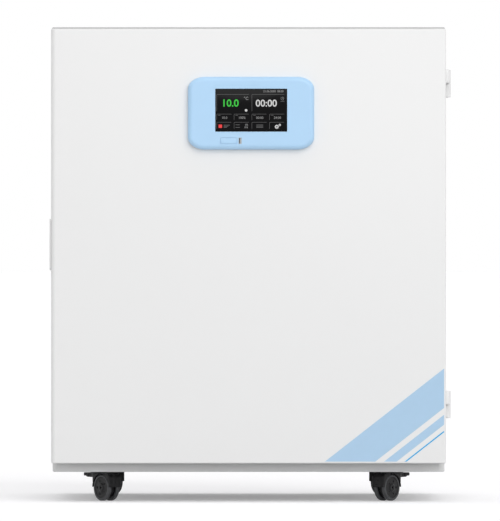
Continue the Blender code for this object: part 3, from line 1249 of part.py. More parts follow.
def wheel_pair(name, body):
    """Both wheels and their axle as one turned shape about the axle."""
    inner = CORE_WIDTH / 2 + WHEEL_SIDE_GAP
    outer = inner + WHEEL_WIDTH
    edge = WHEEL_WIDTH / 5
    dish = WHEEL_WIDTH / 4
    half = [
        (AXLE_RADIUS, inner),
        (WHEEL_RADIUS, inner),
        (WHEEL_RADIUS, outer - edge),
        (WHEEL_RADIUS - edge, outer),
        (WHEEL_RADIUS - 3 * edge, outer),
        (WHEEL_RADIUS - 3 * edge - dish / 2, outer - dish),
        (3 * AXLE_RADIUS, outer - dish),
        (2 * AXLE_RADIUS, outer),
        (0, outer),
    ]
    profile = [(radius, -along) for radius, along in reversed(half)] + half
    axle_at = (CASTER_TRAIL, 0, AXLE_HEIGHT - BASE_BOTTOM)
    axle = axis_empty(f"wheels_{name}_axis", axle_at, parent=body, local=True)
    piece(f"wheels_{name}", turned(profile, (0, 0, 0), (0, 1, 0), WHEEL_SEGMENTS), GREY_TREAD, axle)


def casters():
    for end, y in (("front", SWIVEL_FRONT), ("rear", SWIVEL_BACK)):
        for side, x in (("left", SWIVEL_OFFSET_X - SWIVEL_X), ("right", SWIVEL_OFFSET_X + SWIVEL_X)):
            name = f"{end}_{side}"
            yaw = -CASTER_YAW if x < 0 else CASTER_YAW - math.pi
            caster_plate(name, x, y)
            body = axis_empty(f"caster_{name}_axis", (x, y, BASE_BOTTOM), yaw=yaw, local=True)
            caster_hood(name, body, braked=end == "front")
            wheel_pair(name, body)


def cabinet():
    base_pan()
    outer_case()
    cabinet_foam()
    chamber_liner()
    front_frame()
    inner_door_seal()
    rear_panel()
    rear_cover()
    air_duct()
    cooler()
    chamber_fan()
    rear_fan()
    temperature_probe()
    access_port()
    power_supply()
    control_board()
    power_inlet()


def door():
    body = axis_empty("door_axis", (HINGE_X, HINGE_Y, 0))
    door_skin(body)
    door_foam(body)
    door_liner(body)
    door_gasket(body)
    door_handle(body)
    control_housing(body)
    touch_screen(body)
    display_board(body)
    usb_flap(body)
    side_hinge("upper", HINGE_UPPER_Z, body)
    side_hinge("lower", HINGE_LOWER_Z, body)


def main():
    cabinet()
    for name, side in (("left", -1), ("right", 1)):
        shelf_ladder(name, side)
    for name, level in SHELF_LEVELS.items():
        shelf(name, level)
    door()
    glass_door()
    casters()


main()
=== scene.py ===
import json
import math
from contextlib import contextmanager

import bmesh
import bpy
from mathutils import Matrix, Vector

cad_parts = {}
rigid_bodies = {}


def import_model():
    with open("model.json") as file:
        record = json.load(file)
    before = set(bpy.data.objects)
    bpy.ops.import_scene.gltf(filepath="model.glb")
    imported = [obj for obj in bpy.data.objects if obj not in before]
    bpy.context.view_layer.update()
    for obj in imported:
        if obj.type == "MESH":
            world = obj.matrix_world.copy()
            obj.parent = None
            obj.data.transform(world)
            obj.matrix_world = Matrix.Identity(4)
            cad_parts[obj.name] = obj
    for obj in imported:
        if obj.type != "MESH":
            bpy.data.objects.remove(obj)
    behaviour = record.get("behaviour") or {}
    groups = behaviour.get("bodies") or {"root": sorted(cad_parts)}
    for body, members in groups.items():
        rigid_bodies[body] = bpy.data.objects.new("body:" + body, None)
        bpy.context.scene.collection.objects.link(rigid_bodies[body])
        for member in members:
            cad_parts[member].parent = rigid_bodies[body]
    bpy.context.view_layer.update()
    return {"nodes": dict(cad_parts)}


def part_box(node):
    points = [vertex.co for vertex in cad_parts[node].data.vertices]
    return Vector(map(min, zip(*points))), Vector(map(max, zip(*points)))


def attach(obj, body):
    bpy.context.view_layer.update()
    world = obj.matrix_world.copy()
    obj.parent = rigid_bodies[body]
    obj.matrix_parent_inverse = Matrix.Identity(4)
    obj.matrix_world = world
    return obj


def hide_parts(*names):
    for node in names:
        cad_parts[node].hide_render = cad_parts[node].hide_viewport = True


for leftover in list(bpy.data.objects):
    bpy.data.objects.remove(leftover)
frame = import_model()

X = Vector((1, 0, 0))
Y = Vector((0, 1, 0))
Z = Vector((0, 0, 1))
MM = 0.001


# Modelling


def activate(obj):
    bpy.ops.object.select_all(action="DESELECT")
    obj.select_set(True)
    bpy.context.view_layer.objects.active = obj
    return obj


def settle(obj, name=None):
    """Puts the object's place into its mesh."""
    activate(obj)
    if name:
        obj.name = name
    bpy.ops.object.transform_apply(location=True, rotation=True, scale=True)
    return obj


@contextmanager
def editing(obj):
    activate(obj)
    bpy.ops.object.mode_set(mode="EDIT")
    bpy.ops.mesh.select_mode(type="VERT")
    bpy.ops.mesh.select_all(action="DESELECT")
    yield obj
    bpy.ops.object.mode_set(mode="OBJECT")


def pick(kind, test):
    """Selects the faces, edges or verts of the mesh in edit mode that pass the test."""
    mode = {"faces": "FACE", "edges": "EDGE", "verts": "VERT"}[kind]
    bpy.ops.mesh.select_mode(type=mode)
    bpy.ops.mesh.select_all(action="DESELECT")
    mesh = bpy.context.object.data
    bm = bmesh.from_edit_mesh(mesh)
    bm.normal_update()
    for item in getattr(bm, kind):
        if test(item):
            item.select_set(True)
    bm.select_flush_mode()
    bmesh.update_edit_mesh(mesh)


def along(edge, axis):
    run = edge.verts[1].co - edge.verts[0].co
    return run.length > 1e-7 and abs(run.normalized().dot(axis)) > 0.999


def lies_at(item, axis, place, slack=1e-5):
    """Whether an edge or a face lies in the plane at this place on the axis."""
    return all(abs(v.co.dot(axis) - place) < slack for v in item.verts)


def sharp(edge, least=0.5):
    return edge.calc_face_angle(0) > least


def bisect_all(place, normal, **options):
    """Bisects the whole mesh in edit mode."""
    bpy.ops.mesh.select_all(action="SELECT")
    bpy.ops.mesh.bisect(plane_co=place, plane_no=normal, **options)


def block(name, low, high):
    bpy.ops.object.select_all(action="DESELECT")
    low, high = Vector(low), Vector(high)
    bpy.ops.mesh.primitive_cube_add(size=1, location=(low + high) / 2)
    bpy.context.object.scale = high - low
    return settle(bpy.context.object, name)


def span(centre, size):
    """The two ends of a length about its centre."""
    return centre - size / 2, centre + size / 2


def corners(*ranges):
    """Ranges in X, Y and Z as a low and a high corner."""
    return tuple(min(r) for r in ranges), tuple(max(r) for r in ranges)


def middle_of(node):
    return sum(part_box(node), Vector()) / 2


def spoke(share):
    """A way out from an axis along Y, at this share of a full turn."""
    return Vector((math.cos(math.tau * share), 0, math.sin(math.tau * share)))


def bevel(obj, radius, segments, test):
    with editing(obj):
        pick("edges", test)
        bpy.ops.mesh.bevel(offset=radius, segments=segments, affect="EDGES", clamp_overlap=True)
    return obj


def rim_of(obj, axis, ends=(0, 1)):
    """A test for edges that lie in the end planes of a shape across this axis."""
    places = [v.co.dot(axis) for v in obj.data.vertices]
    planes = [(min(places), max(places))[end] for end in ends]
    return lambda edge: sharp(edge) and any(lies_at(edge, axis, plane) for plane in planes)


def rounded(name, low, high, axis, corner, rim=0.0, ends=(0, 1), segments=6):
    """A block with rounded corners along one axis and rounded rims at its ends."""
    obj = bevel(block(name, low, high), corner, segments, lambda edge: along(edge, axis))
    return bevel(obj, rim, 3, rim_of(obj, axis, ends)) if rim else obj


def turned(name, centre, axis, profile, sides=48, loop=False):
    """A round shape. Its profile is points of (place on the axis, radius); a loop closes on its start."""
    bpy.ops.object.select_all(action="DESELECT")
    fill = "NOTHING" if loop else "NGON"
    start, radius = profile[0]
    bpy.ops.mesh.primitive_circle_add(vertices=sides, radius=radius, fill_type=fill, location=(0, 0, start))
    obj = settle(bpy.context.object, name)
    with editing(obj):
        bpy.ops.mesh.select_all(action="SELECT")
        if not loop:
            bpy.ops.mesh.select_mode(type="FACE")
        for (near, before), (far, after) in zip(profile, profile[1:] + (profile[:1] if loop else [])):
            bpy.ops.mesh.extrude_region_move(TRANSFORM_OT_translate={"value": (0, 0, far - near)})
            share = after / before
            bpy.ops.transform.resize(value=(share, share, 1), center_override=(0, 0, far))
        bpy.ops.mesh.select_all(action="SELECT")
        bpy.ops.mesh.remove_doubles(threshold=1e-6)
        bpy.ops.mesh.normals_make_consistent(inside=False)
    obj.rotation_mode = "QUATERNION"
    obj.rotation_quaternion = Z.rotation_difference(Vector(axis))
    obj.location = centre
    return settle(obj)


def rod(start, end, radius, chamfer=0.0):
    """The profile of a straight rod between two places on its axis, with chamfered ends."""
    if not chamfer:
        return [(start, radius), (end, radius)]
    small = radius - chamfer
    return [(start, small), (start + chamfer, radius), (end - chamfer, radius), (end, small)]


def modify(obj, kind, **settings):
    """Applies a modifier with these settings."""
    activate(obj)
    change = obj.modifiers.new(kind.lower(), kind)
    for label, value in settings.items():
        setattr(change, label, value)
    bpy.ops.object.modifier_apply(modifier=change.name)
    return obj


def discard(*objects):
    for obj in objects:
        bpy.data.objects.remove(obj)


def cut(obj, *tools, way="DIFFERENCE"):
    for tool in tools:
        modify(obj, "BOOLEAN", operation=way, object=tool)
        discard(tool)
    return obj


def weld(obj, *others):
    return cut(obj, *others, way="UNION")


def bore(obj, centre, axis, start, end, radius, sides=32):
    """Cuts a round hole between two places on its axis."""
    return cut(obj, turned("bore", centre, axis, rod(start, end, radius), sides))


def fuse(obj, *others):
    """Makes the others part of the object."""
    activate(obj)
    for other in others:
        other.select_set(True)
    bpy.ops.object.join()
    return obj


def copy_of(obj, name, move=(0, 0, 0), turn=0.0, axis=Z, mirror=None):
    """A copy with its own mesh, mirrored on an axis, turned about another, then moved."""
    made = obj.copy()
    made.data = obj.data.copy()
    made.name = name
    bpy.context.scene.collection.objects.link(made)
    made.matrix_world = Matrix.Translation(move) @ Matrix.Rotation(turn, 4, axis)
    if mirror is not None:
        made.matrix_world = made.matrix_world @ Matrix.Scale(-1, 4, mirror)
    settle(made)
    if mirror is not None:
        with editing(made):
            bpy.ops.mesh.select_all(action="SELECT")
            bpy.ops.mesh.normals_make_consistent(inside=False)
    return made


def pattern(obj, *rows):
    """Repeats a shape with Array modifiers. Each row is a count and a step."""
    offset = {"use_relative_offset": False, "use_constant_offset": True}
    for count, step in rows:
        modify(obj, "ARRAY", count=count, constant_offset_displace=step, **offset)
    return obj


def dress(obj, body, finish, slot, *nodes):
    """Smooths a finished piece, gives it its finish, and puts it on its body in place of CAD nodes."""
    activate(obj)
    bpy.ops.object.shade_smooth_by_angle(angle=math.radians(35))
    if finish:
        obj.data.materials.clear()
        obj.data.materials.append(finish)
    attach(obj, body)
    if nodes:
        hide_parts(*nodes)
    return obj


# Finishes


class Wire:
    """An output of one of a material's nodes. Arithmetic on it adds Math nodes."""

    def __init__(self, tree, socket):
        self.tree = tree
        self.socket = socket

    def node(self, kind, settings=None, inputs=None, output=0):
        made = self.tree.nodes.new(kind)
        for name, value in (settings or {}).items():
            if name == "stops":
                ramp = made.color_ramp
                while len(ramp.elements) < len(value):
                    ramp.elements.new(1.0)
                for element, (place, level) in zip(ramp.elements, value):
                    element.position = place
                    element.color = (level, level, level, 1.0)
            else:
                setattr(made, name, value)
        for name, value in (inputs or {}).items():
            if isinstance(value, Wire):
                self.tree.links.new(value.socket, made.inputs[name])
            else:
                made.inputs[name].default_value = value
        return Wire(self.tree, made.outputs[output])

    def maths(self, operation, first, second):
        return self.node("ShaderNodeMath", {"operation": operation}, {0: first, 1: second})

    def __add__(self, other):
        return self.maths("ADD", self, other)

    def __mul__(self, other):
        return self.maths("MULTIPLY", self, other)

    __radd__ = __add__
    __rmul__ = __mul__

    def steps(self, *stops):
        return self.node("ShaderNodeValToRGB", {"stops": stops}, {"Fac": self})

    def stretched(self, x, y, z):
        return self.node("ShaderNodeMapping", None, {"Vector": self, "Scale": (x, y, z)})

    def noise(self, scale, detail=2.0, roughness=0.5):
        inputs = {"Vector": self, "Scale": scale, "Detail": detail, "Roughness": roughness}
        return self.node("ShaderNodeTexNoise", None, inputs)

    def cells(self, scale, **settings):
        return self.node("ShaderNodeTexVoronoi", settings, {"Vector": self, "Scale": scale})

    def blend(self, low, high):
        """Goes from one colour to another as this value goes from 0 to 1."""
        inputs = {0: self, 6: shade(low), 7: shade(high)}
        return self.node("ShaderNodeMix", {"data_type": "RGBA"}, inputs, 2)

    def bump(self, distance, strength=1.0):
        inputs = {"Height": self, "Distance": distance, "Strength": strength}
        return self.node("ShaderNodeBump", None, inputs)


def shade(colour):
    return colour if isinstance(colour, Wire) else (*colour, 1.0)


def scaled(colour, share):
    return tuple(min(1.0, part * share) for part in colour)


class Finish:
    """A material: its Principled shader and a wire on the object's coordinates, in metres."""

    def __init__(self, name, colour, roughness, metallic=0.0, **constants):
        self.material = bpy.data.materials.new(name)
        self.material.use_nodes = True
        tree = self.material.node_tree
        self.shader = tree.nodes["Principled BSDF"]
        self.place = Wire(tree, tree.nodes.new("ShaderNodeTexCoord").outputs["Object"])
        self.set("Base Color", (*colour, 1.0))
        self.set("Roughness", roughness)
        self.set("Metallic", metallic)
        for label, value in constants.items():
            self.set(label.replace("_", " ").title().replace("Ior", "IOR"), value)

    def set(self, label, value):
        if isinstance(value, Wire):
            value.tree.links.new(value.socket, self.shader.inputs[label])
        else:
            self.shader.inputs[label].default_value = value


def coated_sheet(name, colour, roughness=0.36):
    """Powder-coated steel: an even colour that drifts a little, and orange peel."""
    made = Finish(name, colour, roughness, coat_weight=0.12, coat_roughness=0.2)
    drift = made.place.noise(2.2, 3.0)
    made.set("Base Color", drift.blend(scaled(colour, 0.994), scaled(colour, 1.005)))
    made.set("Roughness", made.place.noise(45, 3.0) * 0.08 + (roughness - 0.04))
    made.set("Normal", made.place.noise(620, 2.0).bump(0.00006, 0.35))
    return made.material


def moulded(name, colour, roughness=0.45, grain=1400, depth=0.00005, **constants):
    """Moulded plastic: spark-eroded grain and a slight drift of gloss."""
    made = Finish(name, colour, roughness, **constants)
    made.set("Base Color", made.place.noise(14, 3.0).blend(scaled(colour, 0.96), scaled(colour, 1.03)))
    made.set("Roughness", made.place.noise(60, 4.0) * 0.16 + (roughness - 0.08))
    made.set("Normal", made.place.noise(grain, 2.0).bump(depth, 0.5))
    return made.material


def brushed(name, colour, run, roughness=0.3):
    """Brushed sheet: long scratches along the run, which is a stretch for each axis."""
    made = Finish(name, colour, roughness, 1.0)
    streaks = made.place.stretched(*run).noise(1.0, 4.0, 0.7)
    made.set("Base Color", streaks.blend(scaled(colour, 0.88), scaled(colour, 1.08)))
    made.set("Roughness", streaks * 0.18 + (roughness - 0.06))
    made.set("Normal", streaks.bump(0.00004, 0.5))
    return made.material


def plated(name, colour, roughness=0.35, grain=90):
    """Zinc plate or cast metal: faint spangle and dull patches."""
    made = Finish(name, colour, roughness, 1.0)
    made.set("Base Color", made.place.cells(grain).blend(scaled(colour, 0.86), scaled(colour, 1.05)))
    made.set("Roughness", made.place.noise(30, 4.0) * 0.25 + (roughness - 0.1))
    made.set("Normal", made.place.noise(500, 2.0).bump(0.00003, 0.4))
    return made.material


def soft(name, colour, roughness=0.75):
    """Rubber or silicone: dull, with fine pitting and pale bloom."""
    made = Finish(name, colour, roughness)
    bloom = made.place.noise(35, 4.0).steps((0.35, 0.0), (0.75, 1.0))
    made.set("Base Color", bloom.blend(colour, scaled(colour, 1.14)))
    made.set("Roughness", bloom * 0.12 + (roughness - 0.05))
    made.set("Normal", made.place.noise(1100, 3.0).bump(0.00005, 0.6))
    return made.material


def foam_finish():
    colour = (0.80, 0.72, 0.46)
    made = Finish("rigid_foam", colour, 0.95)
    made.set("Base Color", made.place.noise(18, 4.0).blend(scaled(colour, 0.86), scaled(colour, 1.06)))
    made.set("Normal", made.place.cells(420).bump(0.0004, 0.8))
    return made.material


def board_finish():
    """Green solder mask over copper tracks, with pale pads."""
    made = Finish("circuit_board", (0.02, 0.14, 0.06), 0.35)
    grid = made.place.cells(150, distance="MANHATTAN", feature="DISTANCE_TO_EDGE")
    tracks = grid.steps((0.03, 1.0), (0.06, 0.0))
    made.set("Base Color", tracks.blend((0.015, 0.11, 0.045), (0.10, 0.32, 0.14)))
    made.set("Normal", tracks.bump(0.00004, 0.5))
    return made.material


def glass_finish():
    made = Finish("clear_glass", (0.93, 0.98, 0.96), 0.02, alpha=0.16, ior=1.5)
    smear = made.place.noise(7, 4.0)
    made.set("Roughness", smear * 0.05 + 0.005)
    return made.material


def glass_edge_finish():
    made = Finish("cut_glass_edge", (0.22, 0.50, 0.42), 0.12, alpha=0.75)
    made.set("Roughness", made.place.noise(200, 3.0) * 0.2 + 0.05)
    return made.material


def lit(name, colour):
    """A lit part of the display, with the fine grid of its pixels."""
    made = Finish(name, (0.0, 0.0, 0.0), 0.4)
    cells = made.place.stretched(2600, 2600, 2600).node("ShaderNodeTexChecker", None, {"Scale": 1.0}, 1)
    glow = (cells * 0.06 + 0.94).blend((0.0, 0.0, 0.0), colour)
    made.set("Emission Color", glow)
    made.set("Emission Strength", 1.0)
    return made.material


def printed(name, colour):
    """A matt vinyl film: flat colour with the faintest mottling."""
    made = Finish(name, colour, 0.42)
    made.set("Base Color", made.place.noise(60, 3.0).blend(scaled(colour, 0.975), scaled(colour, 1.02)))
    made.set("Roughness", made.place.noise(300, 3.0) * 0.12 + 0.36)
    return made.material


WHITE = (0.835, 0.835, 0.835)
WHITE_COAT = coated_sheet("white_powder_coat", WHITE)
GREY_COAT = coated_sheet("grey_powder_coat", (0.77, 0.775, 0.775), 0.42)
# Painted shade: a darker grey for the case's front faces above the door's top, where the real sheet is the
# same white
PAINTED_SHADE_COAT = coated_sheet("painted_shade_grey", (0.58, 0.58, 0.58), 0.5)
STAINLESS_WIDE = brushed("stainless_brushed_across", (0.60, 0.60, 0.59), (4, 4, 900))
STAINLESS_DEEP = brushed("stainless_brushed_along", (0.60, 0.60, 0.59), (900, 5, 900))
ALUMINIUM = brushed("drawn_aluminium", (0.68, 0.69, 0.71), (500, 500, 8), 0.36)
ZINC = plated("zinc_plate", (0.60, 0.61, 0.62))
DARK_ZINC = plated("black_zinc_plate", (0.10, 0.10, 0.105), 0.4)
STEEL = plated("turned_steel", (0.52, 0.52, 0.52), 0.28, 900)
BRASS = plated("tinned_brass", (0.70, 0.60, 0.38), 0.25, 900)
WHITE_PLASTIC = moulded("white_plastic", WHITE, 0.42)
BLUE_PLASTIC = moulded("light_blue_plastic", (0.455, 0.692, 0.938), 0.38)
BLACK_PLASTIC = moulded("black_plastic", (0.018, 0.018, 0.019), 0.42)
HOOD_PLASTIC = moulded("glossy_black_plastic", (0.013, 0.013, 0.014), 0.30, specular_ior_level=0.2)
DARK_GREY_PLASTIC = moulded("dark_grey_plastic", (0.055, 0.057, 0.060), 0.45)
TREAD = soft("caster_tread", (0.060, 0.062, 0.066), 0.55)
GASKET = soft("grey_gasket", (0.40, 0.40, 0.41))
SILICONE = soft("milky_silicone", (0.74, 0.74, 0.71), 0.5)
CERAMIC = moulded("ceramic_module", (0.80, 0.80, 0.77), 0.4)
SCREEN_GLASS = moulded("screen_glass", (0.002, 0.002, 0.0025), 0.12, 30, 0.000002, specular_ior_level=0.1)
FOAM = foam_finish()
BOARD = board_finish()
CLEAR_GLASS = glass_finish()
GLASS_EDGE = glass_edge_finish()
PALE_BLUE_FILM = printed("pale_blue_film", (0.407, 0.597, 0.791))
BRIGHT_BLUE_FILM = printed("bright_blue_film", (0.022, 0.402, 0.760))


# The door and what is on it

SHEET = 0.0012  # the steel of the case, the door and the shelves
SEAT = 0.0003  # the gap between faces that touch
DOOR_GRIP_RADIUS = 0.010
DOOR_EDGE_RADIUS = 0.003
GRIP_WALL = 0.0022
HOUSING_WALL = 0.0028
HOUSING_CORNER_X = 0.036
HOUSING_CORNER_Z = 0.026
HOUSING_FILLET = 0.010
HINGE_LINE = Vector((0.426, -0.314, 0))
door_low, door_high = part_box("door_skin")
door_low.z -= 0.0033  # the skin's lower edge hangs in front of the plinth's top
DOOR_FRONT = door_low.y


def door_outline(inset, back):
    """The door's form drawn in by inset: a wide radius on the grip side, small ones elsewhere."""
    low = (door_low.x + inset, door_low.y + inset, door_low.z + inset)
    high = (door_high.x - inset, back, door_high.z - inset)
    obj = block("door_form", low, high)
    grip_edge = lambda e: along(e, Z) and all(v.co.x < 0 and v.co.y < back - 0.01 for v in e.verts)
    bevel(obj, DOOR_GRIP_RADIUS - inset, 10, grip_edge)
    return bevel(obj, DOOR_EDGE_RADIUS - inset, 4, lambda e: sharp(e) and not lies_at(e, Y, back))


def door_shell():
    shell = door_outline(0, door_high.y)
    cut(shell, door_outline(SHEET, door_high.y + 0.005))
    low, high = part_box("door_handle")
    wide, tall = span((low.y + high.y) / 2, 0.0272), span((low.z + high.z) / 2, 0.1002)
    cut(shell, block("pocket", *corners((low.x - 0.01, high.x - 0.001), wide, tall)))
    shell.name = "door_shell"
    dress(shell, "door", WHITE_COAT, "white_coat", "door_skin")


def grip_strip():
    low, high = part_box("door_handle")
    face = door_low.x - SEAT
    middle = (low + high) / 2
    flange = rounded("door_grip", low, (face, high.y, high.z), X, 0.007, 0.0012, ends=(0,))
    cup = corners((face - 0.001, high.x), span(middle.y, 0.0264), span(middle.z, 0.0994))
    fuse(flange, rounded("cup", *cup, X, 0.004))
    hollow = corners((low.x - 0.01, high.x - GRIP_WALL), span(middle.y, 0.022), span(middle.z, 0.095))
    cut(flange, rounded("hollow", *hollow, X, 0.003, 0.003, ends=(1,)))
    with editing(flange):
        pick("edges", lambda e: sharp(e, 1.2) and lies_at(e, X, low.x, 1e-4))
        bpy.ops.mesh.bevel(offset=0.0008, segments=3, affect="EDGES")
    dress(flange, "door", WHITE_PLASTIC, "white_plastic", "door_handle")


HOUSING_LOW, HOUSING_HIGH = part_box("control_housing")
HOUSING_LOW.z += 0.004


def housing_form(inset, back):
    """The control housing: elliptical corners, and a wide soft fillet round its front."""
    squeeze = HOUSING_CORNER_Z / HOUSING_CORNER_X
    centre = (HOUSING_LOW + HOUSING_HIGH) / 2
    wide = (HOUSING_HIGH.x - HOUSING_LOW.x - 2 * inset) * squeeze
    tall = HOUSING_HIGH.z - HOUSING_LOW.z - 2 * inset
    front = HOUSING_LOW.y + inset
    low, high = corners(span(0, wide), (front, back), span(0, tall))
    obj = bevel(block("housing_form", low, high), HOUSING_CORNER_Z - inset, 16, lambda e: along(e, Y))
    obj.scale.x = 1 / squeeze
    obj.location = (centre.x, 0, centre.z)
    settle(obj)
    return bevel(obj, HOUSING_FILLET - inset, 8, rim_of(obj, Y, (0,)))


def control_housing():
    housing = housing_form(0, HOUSING_HIGH.y)
    cut(housing, housing_form(HOUSING_WALL, HOUSING_HIGH.y + 0.01))
    front = HOUSING_LOW.y

    def opening(node, gap, depth):
        """The corners of a cut with a gap round this node, some way deep in the front."""
        low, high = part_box(node)
        return (low.x - gap, front - 0.01, low.z - gap), (high.x + gap, front + depth, high.z + gap)

    cut(housing, rounded("window", *opening("touch_screen", SEAT, 0.01), Y, 0.0012))
    middle = middle_of("usb_flap")
    recess = block("recess", *opening("usb_flap", 0.0005, 0.002))
    bevel(recess, 0.0036, 6, lambda e: along(e, Y) and e.verts[0].co.z > middle.z)
    bevel(recess, 0.0012, 6, lambda e: along(e, Y) and e.verts[0].co.z < middle.z)
    cut(housing, recess)
    long, short = 0.0134, 0.0061
    for x, wide, tall in ((-0.0178, short, long), (-0.0423, long, short)):
        cut(housing, block("mouth", *corners(span(x, wide), span(front, 0.02), span(middle.z, tall))))
    with editing(housing):
        pick("edges", lambda e: sharp(e, 1.2) and lies_at(e, Y, front))
        bpy.ops.mesh.bevel(offset=0.0004, segments=2, affect="EDGES")
    housing.name = "panel_housing"
    dress(housing, "door", BLUE_PLASTIC, "blue_plastic", "control_housing")
    modify(housing, "WEIGHTED_NORMAL", keep_sharp=True)


def flap():
    low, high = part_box("usb_flap")
    cover = rounded("usb_cover", low, high, Y, 0.0031, 0.0004, ends=(0,))
    nail_x, nail_z = span((low.x + high.x) / 2, 0.010), (high.z - 0.0020, high.z + 0.01)
    cut(cover, rounded("nail", *corners(nail_x, (low.y - 0.001, low.y + 0.0006), nail_z), Y, 0.0009))
    dress(cover, "usb_flap", BLUE_PLASTIC, "blue_plastic", "usb_flap")


def usb_tongue():
    """The tongue inside the open socket."""
    deep, tall = (HOUSING_LOW.y + 0.002, HOUSING_LOW.y + 0.009), span(middle_of("usb_flap").z, 0.0112)
    tongue = rounded("socket_tongue", *corners((-0.0196, -0.0182), deep, tall), Y, 0.0003, 0.0003)
    dress(tongue, "door", DARK_GREY_PLASTIC, "black_plastic")


SCREEN_LOW, SCREEN_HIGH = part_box("touch_screen")
MARK = 0.00006  # the thickness of what is shown on the display


def screen_glass():
    glass = rounded("screen_face", SCREEN_LOW, SCREEN_HIGH, Y, 0.0010, 0.0004, ends=(0,))
    dress(glass, "door", SCREEN_GLASS, "screen_glass", "touch_screen")


def on_screen(x_mm, y_mm):
    """A point of the display, in millimetres from its top left corner."""
    return Vector((SCREEN_LOW.x + x_mm * MM, SCREEN_LOW.y - 0.00004, SCREEN_HIGH.z - y_mm * MM))


def digits(words, x_mm, y_mm, height_mm, finish, align="LEFT", weight=0.0):
    """A number on the display; its place is the middle of its left, centre or right edge."""
    bpy.ops.object.select_all(action="DESELECT")
    bpy.ops.object.text_add(location=on_screen(x_mm, y_mm), rotation=(math.pi / 2, 0, 0))
    made = bpy.context.object
    made.data.body = words
    made.data.size = height_mm * MM / 0.70
    made.data.offset = weight * MM
    made.data.align_x = align
    made.data.align_y = "CENTER"
    made.data.resolution_u = 4
    made.data.extrude = MARK / 2
    bpy.ops.object.convert(target="MESH")
    made = settle(bpy.context.object)
    made.data.materials.clear()
    made.data.materials.append(finish)
    return made


def mark(x_mm, y_mm, wide_mm, high_mm, finish, corner_mm=0.3, thick=MARK):
    """A small plate on the display, from its upper left corner."""
    low = on_screen(x_mm, y_mm + high_mm) - Y * thick / 2
    high = on_screen(x_mm + wide_mm, y_mm) + Y * thick / 2
    made = rounded("mark", low, high, Y, corner_mm * MM, segments=4)
    made.data.materials.append(finish)
    return made


def tile_outline(x_mm, y_mm, wide_mm, high_mm, finish, line_mm=0.7):
    """The upper and left lines of a key on the display, joined by a rounded corner."""
    plate = mark(x_mm, y_mm, wide_mm, high_mm, finish, 2.0)
    inner = mark(x_mm + line_mm, y_mm + line_mm, wide_mm + 4, high_mm + 4, finish, 1.5, 0.002)
    return cut(plate, inner)


def ring_on_screen(name, centre, inner, outer, finish):
    half = MARK / 2
    profile = [(-half, inner), (-half, outer), (half, outer), (half, inner)]
    made = turned(name, centre, Y, profile, 24, loop=True)
    made.data.materials.append(finish)
    return made


def gear(x_mm, y_mm, radius_mm, finish):
    """A small cog: a disc with square teeth and a hole."""
    centre = on_screen(x_mm, y_mm)
    radius = radius_mm * MM
    cog = ring_on_screen("cog", centre, radius * 0.36, radius * 0.8, finish)
    tooth = block("tooth", *corners(span(0, radius * 0.4), span(0, MARK), (radius * 0.7, radius)))
    teeth = [copy_of(tooth, "tooth", centre, math.tau * step / 8, Y) for step in range(8)]
    discard(tooth)
    return fuse(cog, *teeth)


def display_figures():
    green = lit("display_green", (0.0, 0.50, 0.01))
    pale = lit("display_white", (0.62, 0.62, 0.62))
    grey = lit("display_grey", (0.20, 0.20, 0.20))
    dim = lit("display_dim_grey", (0.085, 0.085, 0.085))
    red = lit("display_red", (0.88, 0.012, 0.014))
    made = [
        digits("21.06.2030  08:30", 145, 5.4, 4.2, grey, "RIGHT", 0.10),
        digits("10.0", 13.0, 31.0, 15.0, green, weight=0.45),
        digits("°C", 60.2, 20.6, 6.4, grey, weight=0.1),
        digits("00:00", 85.4, 31.2, 14.4, pale, weight=0.32),
        mark(62.6, 43.0, 5.4, 5.4, pale, 2.6),
        tile_outline(2.4, 11.5, 70, 37, dim),
        tile_outline(77.3, 11.5, 70, 37, dim),
        mark(6.9, 75.9, 7.3, 7.1, red, 0.2),
        gear(130.6, 80.6, 4.3, pale),
        gear(136.9, 76.7, 2.5, pale),
        ring_on_screen("dial", on_screen(142.4, 20.6), 0.0029, 0.0035, grey),
        mark(142.1, 18.4, 0.6, 2.5, grey, 0.1),
        mark(142.1, 20.4, 2.0, 0.6, grey, 0.1),
        mark(138.4, 26.2, 8.4, 0.9, dim, 0.2),
    ]
    for left, words in ((2.4, "10.0"), (39.5, "100%"), (77.3, "00:00"), (114.8, "24:00")):
        made.append(tile_outline(left, 53.4, 32.6, 13.6, dim, 0.6))
        made.append(tile_outline(left, 70.8, 32.6, 15.4, dim, 0.6))
        made.append(digits(words, left + 17.0, 61.6, 4.9, grey, "CENTER", 0.08))
        made.append(mark(left + 3.2, 55.6, 5.4, 0.9, dim, 0.2))
    for step in range(3):
        made.append(mark(17.6, 76.6 + step * 2.4, 13.0 - step * 3, 1.1, dim, 0.3))
        made.append(mark(87.0, 76.2 + step * 2.6, 14.5, 1.1, dim, 0.3))
    for row, words in enumerate(("0%", "10%")):
        made.append(mark(43.0, 76.0 + row * 5.4, 9.0, 1.0, dim, 0.3))
        made.append(digits(words, 69.5, 76.6 + row * 5.4, 3.6, grey, "RIGHT", 0.05))
    first = made[0]
    first.name = "display_figures"
    fuse(first, *made[1:])
    dress(first, "door", None, "screen_glass")


